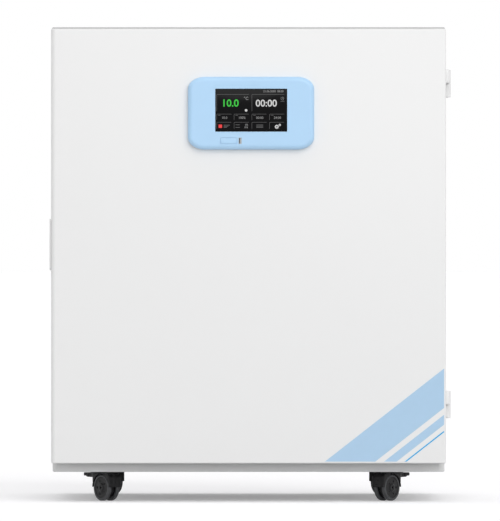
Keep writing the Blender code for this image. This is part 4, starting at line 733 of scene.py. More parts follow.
def corner_design():
    """Printed stripes across the door's lower right corner, clipped where its front face ends."""
    right, bottom = door_high.x - 0.004, door_low.z + 0.004
    lean = math.radians(38)

    def stripe(name, offset, wide, finish):
        """A stripe that leans to the right, at this distance from the corner."""
        plate = block(name, *corners((-0.45, 0.45), span(0, 0.00016), (offset, offset + wide)))
        plate.rotation_euler.y = -lean
        plate.location = (right, DOOR_FRONT - 0.00009, bottom)
        settle(plate)
        with editing(plate):
            for edge, outwards in (((right, 0, 0), X), ((0, 0, bottom), -Z)):
                bisect_all(edge, outwards, use_fill=True, clear_outer=True)
        dress(plate, "door", finish, "blue_plastic")

    stripe("corner_stripe_wide", 0.090, 0.066, PALE_BLUE_FILM)
    stripe("corner_stripe_narrow", 0.062, 0.0165, PALE_BLUE_FILM)
    stripe("corner_stripe_line", 0.0490, 0.0028, BRIGHT_BLUE_FILM)


def hinge_part(node, body):
    """One half of a side hinge: a softly rounded cover over a barrel, with two countersunk screws."""
    low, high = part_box(node)
    wall = 0.4203
    face = wall + 0.0075
    leaf = rounded(node + "_cover", (wall, low.y, low.z), (face, high.y, high.z), X, 0.004, 0.0018, ends=(1,))
    half = HINGE_LINE + Z * (low.z + high.z) / 2
    tall = (high.z - low.z) / 2
    weld(leaf, turned("barrel", half, Z, rod(-tall, tall, 0.0054, 0.0007), 40))
    bore(leaf, half, Z, -tall - 0.003, tall + 0.003, 0.0034)
    away = 1 if "block" in node else -1
    for rise in (-0.008, 0.008):
        centre = Vector((face, HINGE_LINE.y + away * 0.036, half.z + rise))
        cut(leaf, turned("sink", centre, X, [(-0.0022, 0.0016), (0.0004, 0.0040)], 24))
        screw = turned("screw", centre - X * 0.0021, X, [(0, 0.0015), (0.0016, 0.0032), (0.0018, 0.0031)], 24)
        cut(screw, *cross_slots(centre - X * 0.0003, X, 0.0036))
        screw.name = f"{node}_screw_{'lower' if rise < 0 else 'upper'}"
        dress(screw, body, STEEL, "stainless")
    dress(leaf, body, WHITE_PLASTIC, "white_plastic", node)


def cross_slots(centre, axis, length, width=0.0007, depth=0.0009):
    """Two crossed bars that cut a driver's slot into a screw head."""
    sides = [v for v in (X, Y, Z) if abs(v.dot(axis)) < 0.5]
    bars = []
    for run, other in (sides, reversed(sides)):
        half = run * length / 2 + other * width / 2 + axis * depth
        half = Vector(abs(part) for part in half)
        bars.append(block("bar", Vector(centre) - half, Vector(centre) + half))
    return bars


door_shell()
grip_strip()
control_housing()
flap()
usb_tongue()
screen_glass()
display_figures()
corner_design()
for level in ("upper", "lower"):
    hinge_part(f"hinge_block_{level}", "cabinet")
    hinge_part(f"hinge_leaf_{level}", "door")


# The outside of the cabinet


def case_shell():
    """The folded sheet round the cabinet, with its soft front edge, its flange at the floor, and painted
    shade on its front above the door.
    """
    low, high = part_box("outer_case")
    shell = rounded("case_shell", low, high, Y, 0.0045, 0.0011, ends=(0,))
    hollow_low, hollow_high = low + SHEET * (X + Y + Z), (high.x - SHEET, high.y + 0.01, high.z - SHEET)
    cut(shell, rounded("hollow", hollow_low, hollow_high, Y, 0.0033))
    frame_low, frame_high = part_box("front_frame")
    mouth_low = (frame_low.x - SEAT, low.y - 0.01, frame_low.z - SEAT)
    cut(shell, block("mouth", mouth_low, (frame_high.x + SEAT, low.y + 0.01, frame_high.z + SEAT)))
    flange = 0.030
    floor_low = (low.x + flange, low.y + flange, low.z - 0.01)
    cut(shell, block("floor", floor_low, (high.x - flange, high.y - flange, low.z + 0.005)))
    dress(shell, "cabinet", WHITE_COAT, "white_coat", "outer_case")
    # The front faces above the door's top get the darker grey: painted shade
    shell.data.materials.append(PAINTED_SHADE_COAT)
    shell.active_material_index = 1
    with editing(shell):
        pick("faces", lambda face: face.normal.y < -0.9)
        bpy.ops.mesh.bisect(plane_co=door_high, plane_no=Z)
        pick("faces", lambda face: face.normal.y < -0.3 and face.calc_center_median().z > door_high.z)
        bpy.ops.object.material_slot_assign()


def plinth():
    """The grey pan under the case. Its lowest edge is a lip that is drawn in."""
    low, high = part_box("base_pan")
    lip, wall = 0.0016, 0.002
    pan = rounded("plinth", (low.x, low.y, low.z + lip), high, Z, 0.014, 0.0010, segments=10)
    inset = 0.0012
    lip_low, lip_high = (low.x + inset, low.y + inset, low.z), (high.x - inset, high.y - inset, low.z + 0.004)
    weld(pan, rounded("lip", lip_low, lip_high, Z, 0.0128, 0.0004, (0,), 10))
    inner = Vector((wall, wall, wall))
    cut(pan, rounded("hollow", low + inner, high - inner, Z, 0.012))
    rail = Vector((0.160, 0.160, 0))
    cut(pan, block("opening", low + rail - Z * 0.01, (high.x - rail.x, high.y - rail.y, low.z + 0.006)))
    dress(pan, "cabinet", GREY_COAT, "grey_coat", "base_pan")


# Casters, modelled once about the swivel axis at the plinth's underside, trailing along +X

CASTERS = ("front_left", "front_right", "rear_left", "rear_right")
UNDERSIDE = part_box("base_pan")[0].z
CORNERS = ((-1, -1), (-1, 1), (1, -1), (1, 1))
AXLE_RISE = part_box("wheels_front_left")[1].z / 2
AXLE = Vector((0.020, 0, AXLE_RISE - UNDERSIDE))
HOOD_HALF = 0.0159
HOOD_TOP = -0.0030
YAW = math.radians(53.5)
PIVOT = Vector((-0.017, 0, -0.0082))


def canopy(radius, half, trim=0.0):
    """The hood's outline: a drum over the axle with a squared back, drawn in by trim at its top."""
    profile = [(-half, radius - 0.0012), (-half + 0.0004, radius - 0.0004), (-half + 0.0012, radius)]
    profile += [(-along_axis, around) for along_axis, around in reversed(profile)]
    drum = turned("hood", AXLE, Y, profile, 72)
    foot = AXLE.z + 0.0012
    cut(drum, block("below", (-0.06, -0.05, AXLE.z - 0.06), (0.09, 0.05, foot)))
    tail = block("tail", (AXLE.x - 0.004, -half, foot), (AXLE.x + radius, half, HOOD_TOP - trim))
    nape = lambda e: along(e, Y) and all(v.co.x > AXLE.x and v.co.z > foot + 0.01 for v in e.verts)
    bevel(tail, 0.010, 8, nape)
    bevel(tail, 0.0010, 3, rim_of(tail, Y))
    return weld(drum, tail)


def hood_form():
    """A hood over both wheels with a grooved back, a nose, a bored column and a core between the wheels."""
    edge = HOOD_HALF
    hood = canopy(0.0316, edge)
    weld(hood, rounded("nose", (-0.0125, -edge, -0.0230), (AXLE.x, edge, HOOD_TOP), Z, 0.0045, 0.0012, (1,)))
    for place in (-0.0100, 0.0, 0.0100):
        reach, deep = (AXLE.x + 0.002, AXLE.x + 0.06), (AXLE.z - 0.01, 0.01)
        slab = block("groove", *corners(reach, span(place, 0.0018), deep))
        cut(slab, canopy(0.0310, edge, 0.0006))
        cut(hood, slab)
    for side in (-1, 1):
        bore(hood, AXLE, Y, *sorted((side * 0.0055, side * 0.0250)), 0.0298, 72)
    weld(hood, turned("core", AXLE, Y, rod(-0.0055, 0.0055, 0.0210, 0.0008), 64))
    weld(hood, turned("column", (0, 0, 0), Z, [(-0.0330, 0.0046), (-0.0322, 0.0055), (-0.0140, 0.0055)], 32))
    bore(hood, (0, 0, 0), Z, -0.0290, 0.001, 0.0044)
    return bore(hood, AXLE, Y, -0.012, 0.012, 0.0034)


def hood_with_lugs(plain):
    hood = copy_of(plain, "hood_with_lugs")
    for side in (-1, 1):
        near, far = sorted((side * (HOOD_HALF - 0.0030), side * (HOOD_HALF - 0.0004)))
        lug = rounded("lug", (-0.0215, near, PIVOT.z - 0.0045), (-0.0060, far, PIVOT.z + 0.0045), Y, 0.0022)
        weld(hood, lug)
    return bore(hood, PIVOT, Y, -0.03, 0.03, 0.0020, 24)


def pedal_form():
    """A brake pedal on its pin: a wide toe plate with ribs on top and a hollow curve under it."""
    half = HOOD_HALF
    plate = rounded("pedal", (-0.027, -half, -0.0043), (-0.0066, half, 0.0052), Z, 0.0036, 0.0011)
    bore(plate, (-0.0220, 0, -0.0175), Y, -0.03, 0.03, 0.0165, 64)
    for step in range(4):
        x = -0.0250 + step * 0.0042
        cut(plate, rounded("rib", (x, -0.0125, 0.0046), (x + 0.0017, 0.0125, 0.008), Z, 0.0007, segments=3))
    arm = half - 0.0038
    weld(plate, block("arm", (-0.0074, -arm, -0.0024), (0, arm, 0.0024)))
    weld(plate, turned("barrel", (0, 0, 0), Y, rod(-arm, arm, 0.0034, 0.0006), 32))
    pin = half - 0.0008
    weld(plate, turned("pin", (0, 0, 0), Y, rod(-pin, pin, 0.0016, 0.0004), 24))
    placed = copy_of(plate, "pedal_form", PIVOT)
    discard(plate)
    return placed


def tyre_pair():
    """Two soft tyres; each side wall is rounded into the rolling face, which has a fine groove."""
    out = AXLE_RISE
    ring = [(0.0065, out - 0.0052), (0.0064, out - 0.0018), (0.0068, out - 0.0006), (0.0077, out)]
    ring += [(0.0100, out), (0.0102, out - 0.0004), (0.0106, out - 0.0004), (0.0108, out)]
    ring += [(0.0130, out), (0.0140, out - 0.0005), (0.0147, out - 0.0017)]
    ring += [(0.0150, out - 0.0034), (0.0148, out - 0.0052)]
    tyre = turned("tyre", AXLE, Y, ring, 72, loop=True)
    return fuse(tyre, copy_of(tyre, "tyre_far", mirror=Y))


def hub_pair():
    """Both wheel discs on their axle, dished, with a raised boss and the socket at its middle."""
    out = AXLE_RISE - 0.0048
    disc = [(0.0064, 0.0046), (0.0064, out - 0.0006), (0.0070, out), (0.0145, out), (0.0149, out - 0.0006)]
    disc += [(0.0149, out - 0.0014), (0.0141, out - 0.0022), (0.0136, 0.0098), (0.0140, 0.0086)]
    disc += [(0.0148, 0.0078), (0.0150, 0.0070), (0.0150, 0.0032), (0.0147, 0.0026), (0.0120, 0.0024)]
    hub = turned("hub", AXLE, Y, disc, 72)
    for step in range(5):
        spot = AXLE + spoke((step + 0.5) / 5) * 0.0140
        cut(hub, turned("pocket", spot, Y, [(0.0126, 0.0024), (0.018, 0.0030)], 20))
    far = copy_of(hub, "hub_far", mirror=Y)
    axle = turned("axle", AXLE, Y, rod(-0.0118, 0.0118, 0.0030), 32)
    return fuse(hub, far, axle)


def plate_form():
    """The mounting plate with its countersunk holes, and its stem."""
    half, under, top = 0.023, -0.0023, -0.0003
    plate = rounded("plate", (-half, -half, under), (half, half, top), Z, 0.0050, 0.0004)
    weld(plate, turned("stem", (0, 0, 0), Z, [(-0.0283, 0.0032), (-0.0275, 0.0040), (-0.0015, 0.0040)], 32))
    for across, deep in CORNERS:
        spot = Vector((across, deep, 0)) * 0.0175
        sink = [(under - 0.0002, 0.0036), (under + 0.0014, 0.0020), (0.001, 0.0020)]
        cut(plate, turned("sink", spot, Z, sink, 24))
    return plate


def bolt_form():
    """A countersunk screw with a hexagon socket, to be seen from below."""
    bolt = turned("bolt", (0, 0, 0), Z, [(-0.0024, 0.0030), (-0.0022, 0.0032), (-0.0010, 0.0018)], 32)
    return bore(bolt, (0, 0, 0), Z, -0.006, -0.0016, 0.0013, 6)


def casters():
    plain, tyres, hubs, plate, bolt = hood_form(), tyre_pair(), hub_pair(), plate_form(), bolt_form()
    lugged, pedal = hood_with_lugs(plain), pedal_form()
    for name in CASTERS:
        middle = middle_of(f"caster_plate_{name}")
        place = Vector((middle.x, middle.y, UNDERSIDE))
        yaw = -YAW if middle.x < 0 else YAW - math.pi
        braked = name.startswith("front")
        hood = copy_of(lugged if braked else plain, f"hood_{name}", place, yaw)
        dress(hood, f"caster_{name}", HOOD_PLASTIC, "black_plastic", f"caster_hood_{name}")
        tyre = copy_of(tyres, f"tyres_{name}", place, yaw)
        dress(tyre, f"wheels_{name}", TREAD, "wheel_tyre", f"wheels_{name}")
        hub = copy_of(hubs, f"hubs_{name}", place, yaw)
        dress(hub, f"wheels_{name}", HOOD_PLASTIC, "black_plastic")
        mount = copy_of(plate, f"mounting_plate_{name}", place)
        dress(mount, "cabinet", DARK_ZINC, "zinc", f"caster_plate_{name}")
        for number, (across, deep) in enumerate(CORNERS):
            head = copy_of(bolt, f"bolt_{name}_{number}", place + Vector((across, deep, 0)) * 0.0175)
            dress(head, "cabinet", STEEL, "zinc")
        if braked:
            toe = copy_of(pedal, f"pedal_{name}", place, yaw)
            dress(toe, f"brake_pedal_{name}", HOOD_PLASTIC, "black_plastic", f"brake_pedal_{name}")
    discard(plain, tyres, hubs, plate, bolt, lugged, pedal)


case_shell()
plinth()
casters()


# The back of the cabinet

PORT_BORE = 0.0249
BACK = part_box("outer_case")[1].y


def slot_disc(centre_z, face_y, radius, pitch=0.013, wide=0.007):
    """A cutter of level slots with round ends that fill a circle."""
    reach = int(radius // pitch)
    slots = []
    for step in range(-reach, reach + 1):
        half = math.sqrt(max(radius**2 - (step * pitch) ** 2, (2 * pitch) ** 2))
        z = span(centre_z + step * pitch, wide)
        slots.append(rounded("slot", *corners((-half, half), span(face_y, 0.008), z), Y, wide / 2 - 0.00005))
    return fuse(*slots)


def pan_screws(name, spots, axis, body, slot):
    """Pan-head screws with crossed slots. Each spot is the point where a screw's head meets the sheet."""
    profile = [(-0.0004, 0.0040), (0.0006, 0.0040), (0.0014, 0.0036), (0.0020, 0.0026), (0.0023, 0.0012)]
    screw = turned("screw", (0, 0, 0), axis, profile, 32)
    cut(screw, *cross_slots(Vector(axis) * 0.0023, axis, 0.0042, 0.0008, 0.0012))
    for number, spot in enumerate(spots):
        dress(copy_of(screw, f"{name}_{number:02d}", spot), body, STEEL, slot)
    discard(screw)


def louvre_form(wide, deep, tall, corner, crown):
    """A hood over a vent, or the space under it, with a wide radius along its upper outer edge."""
    made = rounded("louvre", *corners(span(0, wide), deep, tall), Y, corner, segments=5)
    return bevel(made, crown, 7, lambda e: lies_at(e, Y, deep[1]) and lies_at(e, Z, tall[1]))


def rear_sheet():
    """The louvred cover let into the back, its round grille over the fan, and the screws round its edge."""
    low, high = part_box("rear_cover")
    case_low, case_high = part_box("outer_case")
    cover = rounded("rear_sheet", low, (high.x, BACK, high.z), Y, 0.0033, 0.0011, ends=(1,))
    hollow_low = (low.x + SHEET, low.y - 0.01, low.z + SHEET)
    cut(cover, rounded("hollow", hollow_low, (high.x - SHEET, BACK - SHEET, high.z - SHEET), Y, 0.0022))
    hood = louvre_form(0.300, (BACK - 0.0006, BACK + 0.005), (0, 0.010), 0.0030, 0.0046)
    throat = louvre_form(0.2976, (BACK - 0.01, BACK + 0.0039), (-0.0012, 0.0086), 0.0022, 0.0036)
    bank_rows = (6, Z * 0.023)
    for bank in (case_low.z + 0.110, case_high.z - 0.235):
        weld(cover, pattern(copy_of(hood, "louvres", Z * bank), bank_rows))
        cut(cover, pattern(copy_of(throat, "throats", Z * bank), bank_rows))
    discard(hood, throat)
    cut(cover, slot_disc(middle_of("rear_fan_frame").z, BACK, 0.0565))
    port_at = middle_of("port_sleeve")
    bore(cover, (port_at.x, BACK, port_at.z), Y, -0.03, 0.03, PORT_BORE, 64)
    inlet_low, inlet_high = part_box("power_inlet")
    rim = Vector((0.0037, 0, 0.0037))
    cut(cover, block("inlet", inlet_low + rim, inlet_high - rim))
    dress(cover, "cabinet", WHITE_COAT, "white_coat", "rear_cover")
    rows = [low.z + 0.016 + row * (high.z - low.z - 0.032) / 4 for row in range(5)]
    spots = [(side * (high.x - 0.010), BACK, z) for side in (-1, 1) for z in rows]
    spots += [(side * 0.14, BACK, z) for side in (-1, 1) for z in (low.z + 0.010, high.z - 0.010)]
    pan_screws("cover_screw", spots, Y, "cabinet", "zinc")


def port():
    """The sleeve's flange and bore, and the soft plug with a lip to pull it by."""
    low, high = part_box("port_sleeve")
    centre = Vector(((low.x + high.x) / 2, 0, (low.z + high.z) / 2))
    back = BACK + SEAT
    ring = [(low.y, 0.0212), (low.y, 0.0244), (low.y + 0.0004, 0.0246), (back, 0.0246), (back, 0.0336)]
    ring += [(back + 0.0004, 0.0340), (back + 0.0014, 0.0340), (back + 0.0024, 0.0334)]
    ring += [(back + 0.0030, 0.0320), (back + 0.0030, 0.0218), (back + 0.0022, 0.0210)]
    ring += [(low.y + 0.0002, 0.0210)]
    tube = turned("port_tube", centre, Y, ring, 72, loop=True)
    dress(tube, "cabinet", WHITE_PLASTIC, "white_plastic", "port_sleeve")
    low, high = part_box("port_plug")
    head, tip = back + 0.0034, high.y
    shank = [(low.y, 0.0150), (low.y, 0.0190), (low.y + 0.003, 0.0205), (low.y + 0.020, 0.0206)]
    shank += [(low.y + 0.0205, 0.0200), (low.y + 0.0235, 0.0200), (low.y + 0.024, 0.0206), (head, 0.0206)]
    shank += [(head, 0.0262), (head + 0.0006, 0.0269), (tip - 0.0014, 0.0269), (tip - 0.0004, 0.0262)]
    shank += [(tip, 0.0250), (tip, 0.0200), (tip - 0.0010, 0.0192), (tip - 0.0016, 0.0150)]
    shank += [(tip - 0.0016, 0.0040), (tip - 0.0012, 0.0015)]
    dress(turned("port_bung", centre, Y, shank, 72), "port_plug", SILICONE, "silicone", "port_plug")


def inlet():
    """The mains inlet: a screwed flange, a shrouded socket with three pins, and the window of the switch."""
    low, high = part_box("power_inlet")
    middle, face = (low + high) / 2, high.y
    back, inset = BACK + SEAT, 0.004
    plate = rounded("inlet_plate", (low.x, back, low.z), high, Y, 0.0040, 0.0007, ends=(1,))
    body_high = (high.x - inset, back + 0.001, high.z - inset)
    weld(plate, rounded("body", (low.x + inset, low.y, low.z + inset), body_high, Y, 0.001))
    socket = middle.z - 0.013
    mouth = block("mouth", *corners(span(middle.x, 0.024), (face - 0.017, face + 0.01), span(socket, 0.016)))
    bevel(mouth, 0.0045, 1, lambda e: along(e, Y) and all(v.co.z > socket for v in e.verts))
    bevel(mouth, 0.0012, 4, lambda e: along(e, Y) and sharp(e))
    cut(plate, mouth)
    window = middle.z + 0.018
    opening = corners(span(middle.x, 0.0228), (face - 0.014, face + 0.01), span(window, 0.0164))
    cut(plate, rounded("window", *opening, Y, 0.0008))
    for side in (-1, 1):
        spot = Vector((middle.x + side * 0.0215, face, middle.z + 0.0005))
        cut(plate, turned("sink", spot, Y, [(-0.0018, 0.0012), (-0.0014, 0.0014), (0.0002, 0.0026)], 24))
        screw = turned("screw", spot - Y * 0.0014, Y, [(0, 0.0012), (0.0011, 0.0022), (0.0013, 0.0021)], 24)
        cut(screw, *cross_slots(spot, Y, 0.0028, 0.0005, 0.0006))
        screw.name = f"inlet_screw_{'left' if side < 0 else 'right'}"
        dress(screw, "cabinet", STEEL, "zinc")
    dress(plate, "cabinet", BLACK_PLASTIC, "black_plastic", "power_inlet")
    for column, rise in ((-1, 0.0), (0, 0.003), (1, 0.0)):
        x, z = span(middle.x + column * 0.007, 0.002), span(socket + rise, 0.004)
        place = corners(x, (face - 0.018, face - 0.003), z)
        pin = rounded(f"inlet_pin_{column + 1}", *place, Y, 0.0003, 0.0007, (1,), 2)
        dress(pin, "cabinet", BRASS, "zinc")


def rocker():
    """The switch's rocker: a shallow V with softened edges, with a bar and a ring printed on it."""
    low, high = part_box("power_inlet")
    tilt = math.radians(10)
    pivot = Vector(((low.x + high.x) / 2, high.y - 0.0049, (low.z + high.z) / 2 + 0.018))
    paddle = block("paddle", (-0.0109, -0.0021, -0.0067), (0.0109, 0.0049, 0.0067))
    with editing(paddle):
        bisect_all((0, 0, 0), Z)
        pick("verts", lambda v: abs(v.co.z) < 1e-5 and v.co.y > 0)
        bpy.ops.transform.translate(value=(0, -0.0012, 0))
    bevel(paddle, 0.0006, 3, lambda e: sharp(e, 1.0))
    made = copy_of(paddle, "rocker", pivot, -tilt, X)
    dress(made, "power_rocker", BLACK_PLASTIC, "black_plastic", "power_rocker")
    discard(paddle)
    flat = pivot + Vector((0, 0.00364, -0.0040))
    profile = [(0, 0.0015), (MARK, 0.0015), (MARK, 0.0018), (0, 0.0018)]
    ring = turned("rocker_marks", flat, Y, profile, 32, loop=True)
    bar = block("bar", (-0.00018, 0, -0.0014), (0.00018, MARK, 0.0014))
    fuse(ring, copy_of(bar, "bar", pivot + Vector((0, 0.00480, 0.0026)), -2 * tilt, X))
    discard(bar)
    dress(ring, "power_rocker", WHITE_PLASTIC, "black_plastic")


# The fans

BLADE_ROOT_PITCH = math.radians(50)
BLADE_TIP_PITCH = math.radians(28)


def blade_form(root, tip, depth):
    """A fan blade along +X: wider towards its rounded tip, arched across and twisted along its length."""
    near, far, turns = BLADE_ROOT_PITCH, BLADE_TIP_PITCH, 6
    half = 0.4 * depth / math.sin(near)
    blade = block("blade", (root, -0.0007, -half), (tip, 0.0007, half))
    with editing(blade):
        pick("verts", lambda v: v.co.x > tip - 1e-5)
        bpy.ops.transform.resize(value=(1, 1, math.sin(near) / math.sin(far)), center_override=(0, 0, 0))
    bevel(blade, 0.006, 4, lambda e: along(e, Y) and e.verts[0].co.x > tip - 1e-5)
    with editing(blade):
        for step in range(1, turns):
            bisect_all((root + (tip - root) * step / turns, 0, 0), X)
        for row in (-half / 2, 0, half / 2):
            bisect_all((0, 0, row), Z)
        for reach, lift in ((0.6 * half, 0.0011), (0.1 * half, 0.0006)):
            pick("verts", lambda v: abs(v.co.z) < reach)
            bpy.ops.transform.translate(value=(0, lift, 0))
        bpy.ops.mesh.select_all(action="SELECT")
        bpy.ops.transform.rotate(value=-near, orient_axis="X", center_override=(0, 0, 0))
        for step in range(turns):
            pick("verts", lambda v: v.co.x > root + (tip - root) * step / turns + 1e-5)
            bpy.ops.transform.rotate(value=(near - far) / turns, orient_axis="X", center_override=(0, 0, 0))
    return blade


def rotor(node, hub, radius, count):
    """A fan's hub, domed at its front and bored for the shaft, with its blades."""
    low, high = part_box(node)
    centre, depth = (low + high) / 2, high.y - low.y
    front = -depth / 2
    profile = [(front, 0.6 * hub), (front + 0.0008, 0.85 * hub), (front + 0.0030, hub)]
    profile += [(-front - 0.0005, hub), (-front, hub - 0.0005)]
    made = turned(node + "_hub", centre, Y, profile)
    tip = math.sqrt(radius**2 - (0.4 * depth / math.tan(BLADE_TIP_PITCH)) ** 2)
    blade = blade_form(hub - 0.002, tip, depth)
    blades = [copy_of(blade, "blade", centre, math.tau * step / count, Y) for step in range(count)]
    discard(blade)
    weld(made, *blades)
    bore(made, centre, Y, front + 0.004, 0.02, 0.0029, 24)
    made.name = node + "_wheel"
    dress(made, node.replace("_rotor", ""), BLACK_PLASTIC, "black_plastic", node)


def fan_motor():
    low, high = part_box("chamber_fan_motor")
    centre = Vector((0, high.y, (low.z + high.z) / 2))
    case = [(-0.0260, 0.0200), (-0.0256, 0.0270), (-0.0240, 0.0296), (-0.0225, 0.0300), (-0.0180, 0.0300)]
    case += [(-0.0176, 0.0292), (-0.0060, 0.0292), (-0.0056, 0.0300), (0, 0.0300)]
    motor = turned("chamber_motor", centre, Y, case, 64)
    for step in range(12):
        bore(motor, centre + spoke(step / 12) * 0.0298, Y, -0.0172, -0.0068, 0.0022, 16)
    shaft = low.y - high.y
    shaft_form = [(shaft, 0.0020), (shaft + 0.0005, 0.0025), (-0.0250, 0.0025)]
    weld(motor, turned("shaft", centre, Y, shaft_form, 24))
    dress(motor, "cabinet", BLACK_PLASTIC, "black_plastic", "chamber_fan_motor")


def rear_fan_frame():
    """A square frame: two flanges joined by a waist, four struts and the motor's disc."""
    low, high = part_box("rear_fan_frame")
    centre = (low + high) / 2
    made = rounded("fan_frame", low, high, Y, 0.005, 0.0008, (0, 1))
    deep, long = span(centre.y, 0.030), 0.088
    for place in (-0.062, 0.062):
        cut(made, rounded("waist", *corners(span(place, 0.008), deep, span(centre.z, long)), X, 0.002))
        cut(made, rounded("waist", *corners(span(0, long), deep, span(centre.z + place, 0.008)), Z, 0.002))
    bell = [(low.y - 0.001, 0.0590), (low.y, 0.0585), (low.y + 0.003, 0.0566)]
    bell += [(high.y - 0.003, 0.0566), (high.y, 0.0585), (high.y + 0.001, 0.0590)]
    cut(made, turned("bell", (0, 0, centre.z), Y, bell, 96))
    plate = low.y + 0.0292
    for run in (X, Z):
        across = Z if run is X else X
        half = run * 0.0575 + across * 0.0025
        bar = block("strut", Vector((0, plate, centre.z)) - half, Vector((0, high.y, centre.z)) + half)
        weld(made, bevel(bar, 0.0012, 2, lambda e: along(e, run)))
    disc = [(plate, 0.0190), (plate + 0.0012, 0.0205), (high.y - 0.0008, 0.0210), (high.y, 0.0202)]
    weld(made, turned("disc", (0, 0, centre.z), Y, disc, 64))
    tip = low.y + 0.012
    shaft = [(tip, 0.0020), (tip + 0.0005, 0.0025), (plate + 0.001, 0.0025)]
    weld(made, turned("shaft", (0, 0, centre.z), Y, shaft, 24))
    for x, z in CORNERS:
        spot = (x * 0.0525, 0, centre.z + z * 0.0525)
        bore(made, spot, Y, low.y - 0.005, high.y + 0.005, 0.0022, 24)
    dress(made, "cabinet", BLACK_PLASTIC, "black_plastic", "rear_fan_frame")


# The chamber and what is in it

LEDGE_PITCH = 0.090


def chamber():
    """The polished tub with wide inside corners and a flange behind the front frame."""
    low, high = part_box("chamber_liner")
    side, wall = 0.019, 0.001
    tub_low, tub_high = low + Vector((side, 0, side)), high - Vector((side, 0, side))
    tub = rounded("tub", tub_low, tub_high, Y, 0.016, 0.0020, (1,), 10)
    weld(tub, rounded("flange", low, (high.x, low.y + wall, high.z), Y, 0.004))
    hollow_low = tub_low + Vector((wall, -0.01, wall))
    cut(tub, rounded("hollow", hollow_low, tub_high - Vector((wall, wall, wall)), Y, 0.015, 0.0016, (1,), 10))
    centre = middle_of("peltier_module")
    cut(tub, block("window", *corners(span(centre.x, 0.0906), span(high.y, 0.02), span(centre.z, 0.0906))))
    port_at = middle_of("port_sleeve")
    bore(tub, (port_at.x, high.y, port_at.z), Y, -0.01, 0.01, PORT_BORE, 64)
    tub.name = "chamber_tub"
    dress(tub, "cabinet", STAINLESS_WIDE, "stainless", "chamber_liner")


def ring_of(name, low, high, width, corner, rim=0.0, ends=(0,)):
    """A flat frame with rounded corners, its rims rounded inside and outside."""
    low, high = Vector(low), Vector(high)
    made = rounded(name, low, high, Y, corner)
    inset, reach = Vector((width, 0, width)), Vector((0, 0.01, 0))
    cut(made, rounded("opening", low + inset - reach, high - inset + reach, Y, max(corner - width, 0.0015)))
    return bevel(made, rim, 3, rim_of(made, Y, ends)) if rim else made


def front_frame():
    """The frame round the mouth, stepped for the glass door and bored for its pivots."""
    low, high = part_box("front_frame")
    made = rounded("mouth_frame", low, high, Y, 0.002)
    step, mouth = Vector((0.026, 0, 0.026)), Vector((0.050, 0, 0.050))
    rebate_low, rebate_high = low + step, high - step
    rebate_end = (rebate_high.x, low.y + 0.0163, rebate_high.z)
    cut(made, rounded("rebate", rebate_low - Y * 0.01, rebate_end, Y, 0.0008))
    cut(made, rounded("through", low + mouth - Y * 0.01, high - mouth + Y * 0.01, Y, 0.015, segments=10))
    bevel(made, 0.0007, 3, rim_of(made, Y, (0,)))
    pane_low, pane_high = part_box("glass_pane")
    for z in (rebate_low.z, rebate_high.z):
        pin = (pane_high.x + 0.006, (pane_low.y + pane_high.y) / 2, z)
        bore(made, pin, Z, -0.0074, 0.0074, 0.0034)
    dress(made, "cabinet", WHITE_PLASTIC, "white_plastic", "front_frame")
    seal = ring_of("glass_seal", *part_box("inner_door_seal"), 0.0045, 0.006, 0.0014)
    dress(seal, "cabinet", SILICONE, "silicone", "inner_door_seal")


def shelf(name):
    """A pull-out sheet with rounded slots, a folded front lip and a stop at the back."""
    low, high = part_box(name)
    plate = rounded("plate", (low.x, low.y, high.z - SHEET), high, Z, 0.0035)
    lip_x = high.x - 0.0134
    for y in (low.y, high.y - SHEET):
        weld(plate, rounded("lip", (-lip_x, y, low.z), (lip_x, y + SHEET, high.z - SHEET / 2), Y, 0.003))
    bevel(plate, 0.0009, 3, lambda e: along(e, X) and lies_at(e, Y, low.y) and lies_at(e, Z, high.z))
    pitch_x, pitch_y = 2 * (lip_x - 0.045) / 4, (high.y - low.y - 0.090) / 5
    first = Vector((-1.5 * pitch_x, low.y + 0.045, high.z))
    half = Vector(((pitch_x - 0.0083) / 2, 0.007, 0.004))
    slot = rounded("slot", first - half, first + half, Z, 0.0069, segments=8)
    cut(plate, pattern(slot, (4, X * pitch_x), (6, Y * pitch_y)))
    plate.name = name + "_sheet"
    dress(plate, name, STAINLESS_DEEP, "stainless", name)


def ladder(name, side):
    """Two posts with a row of keyholes and seven ledges, on one wall of the chamber."""
    low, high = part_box(f"shelf_ladder_{name}")
    wall = max(abs(low.x), abs(high.x))
    reach = abs(high.x - low.x)
    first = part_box("shelf_lower")[1].z - SHEET - SEAT - LEDGE_PITCH
    ledge = corners((wall - reach, wall - 0.003), (low.y, high.y), (first - 0.002, first))
    made = rounded("ledge", *ledge, Z, 0.0060)
    bevel(made, 0.0006, 2, lambda e: sharp(e) and not along(e, Z))
    pattern(made, (7, Z * LEDGE_PITCH))
    for y in (low.y + 0.040, high.y - 0.040):
        post = rounded("post", *corners((wall - 0.006, wall), span(y, 0.014), (low.z, high.z)), Z, 0.0012)
        hole = corners(span(wall, 0.04), span(y, 0.0044), span(first + LEDGE_PITCH / 4, 0.012))
        slot = rounded("slot", *hole, X, 0.0021)
        cut(post, pattern(slot, (13, Z * LEDGE_PITCH / 2)))
        weld(made, post)
    placed = copy_of(made, f"ladder_{name}", mirror=X if side < 0 else None)
    discard(made)
    dress(placed, "cabinet", STAINLESS_DEEP, "stainless", f"shelf_ladder_{name}")


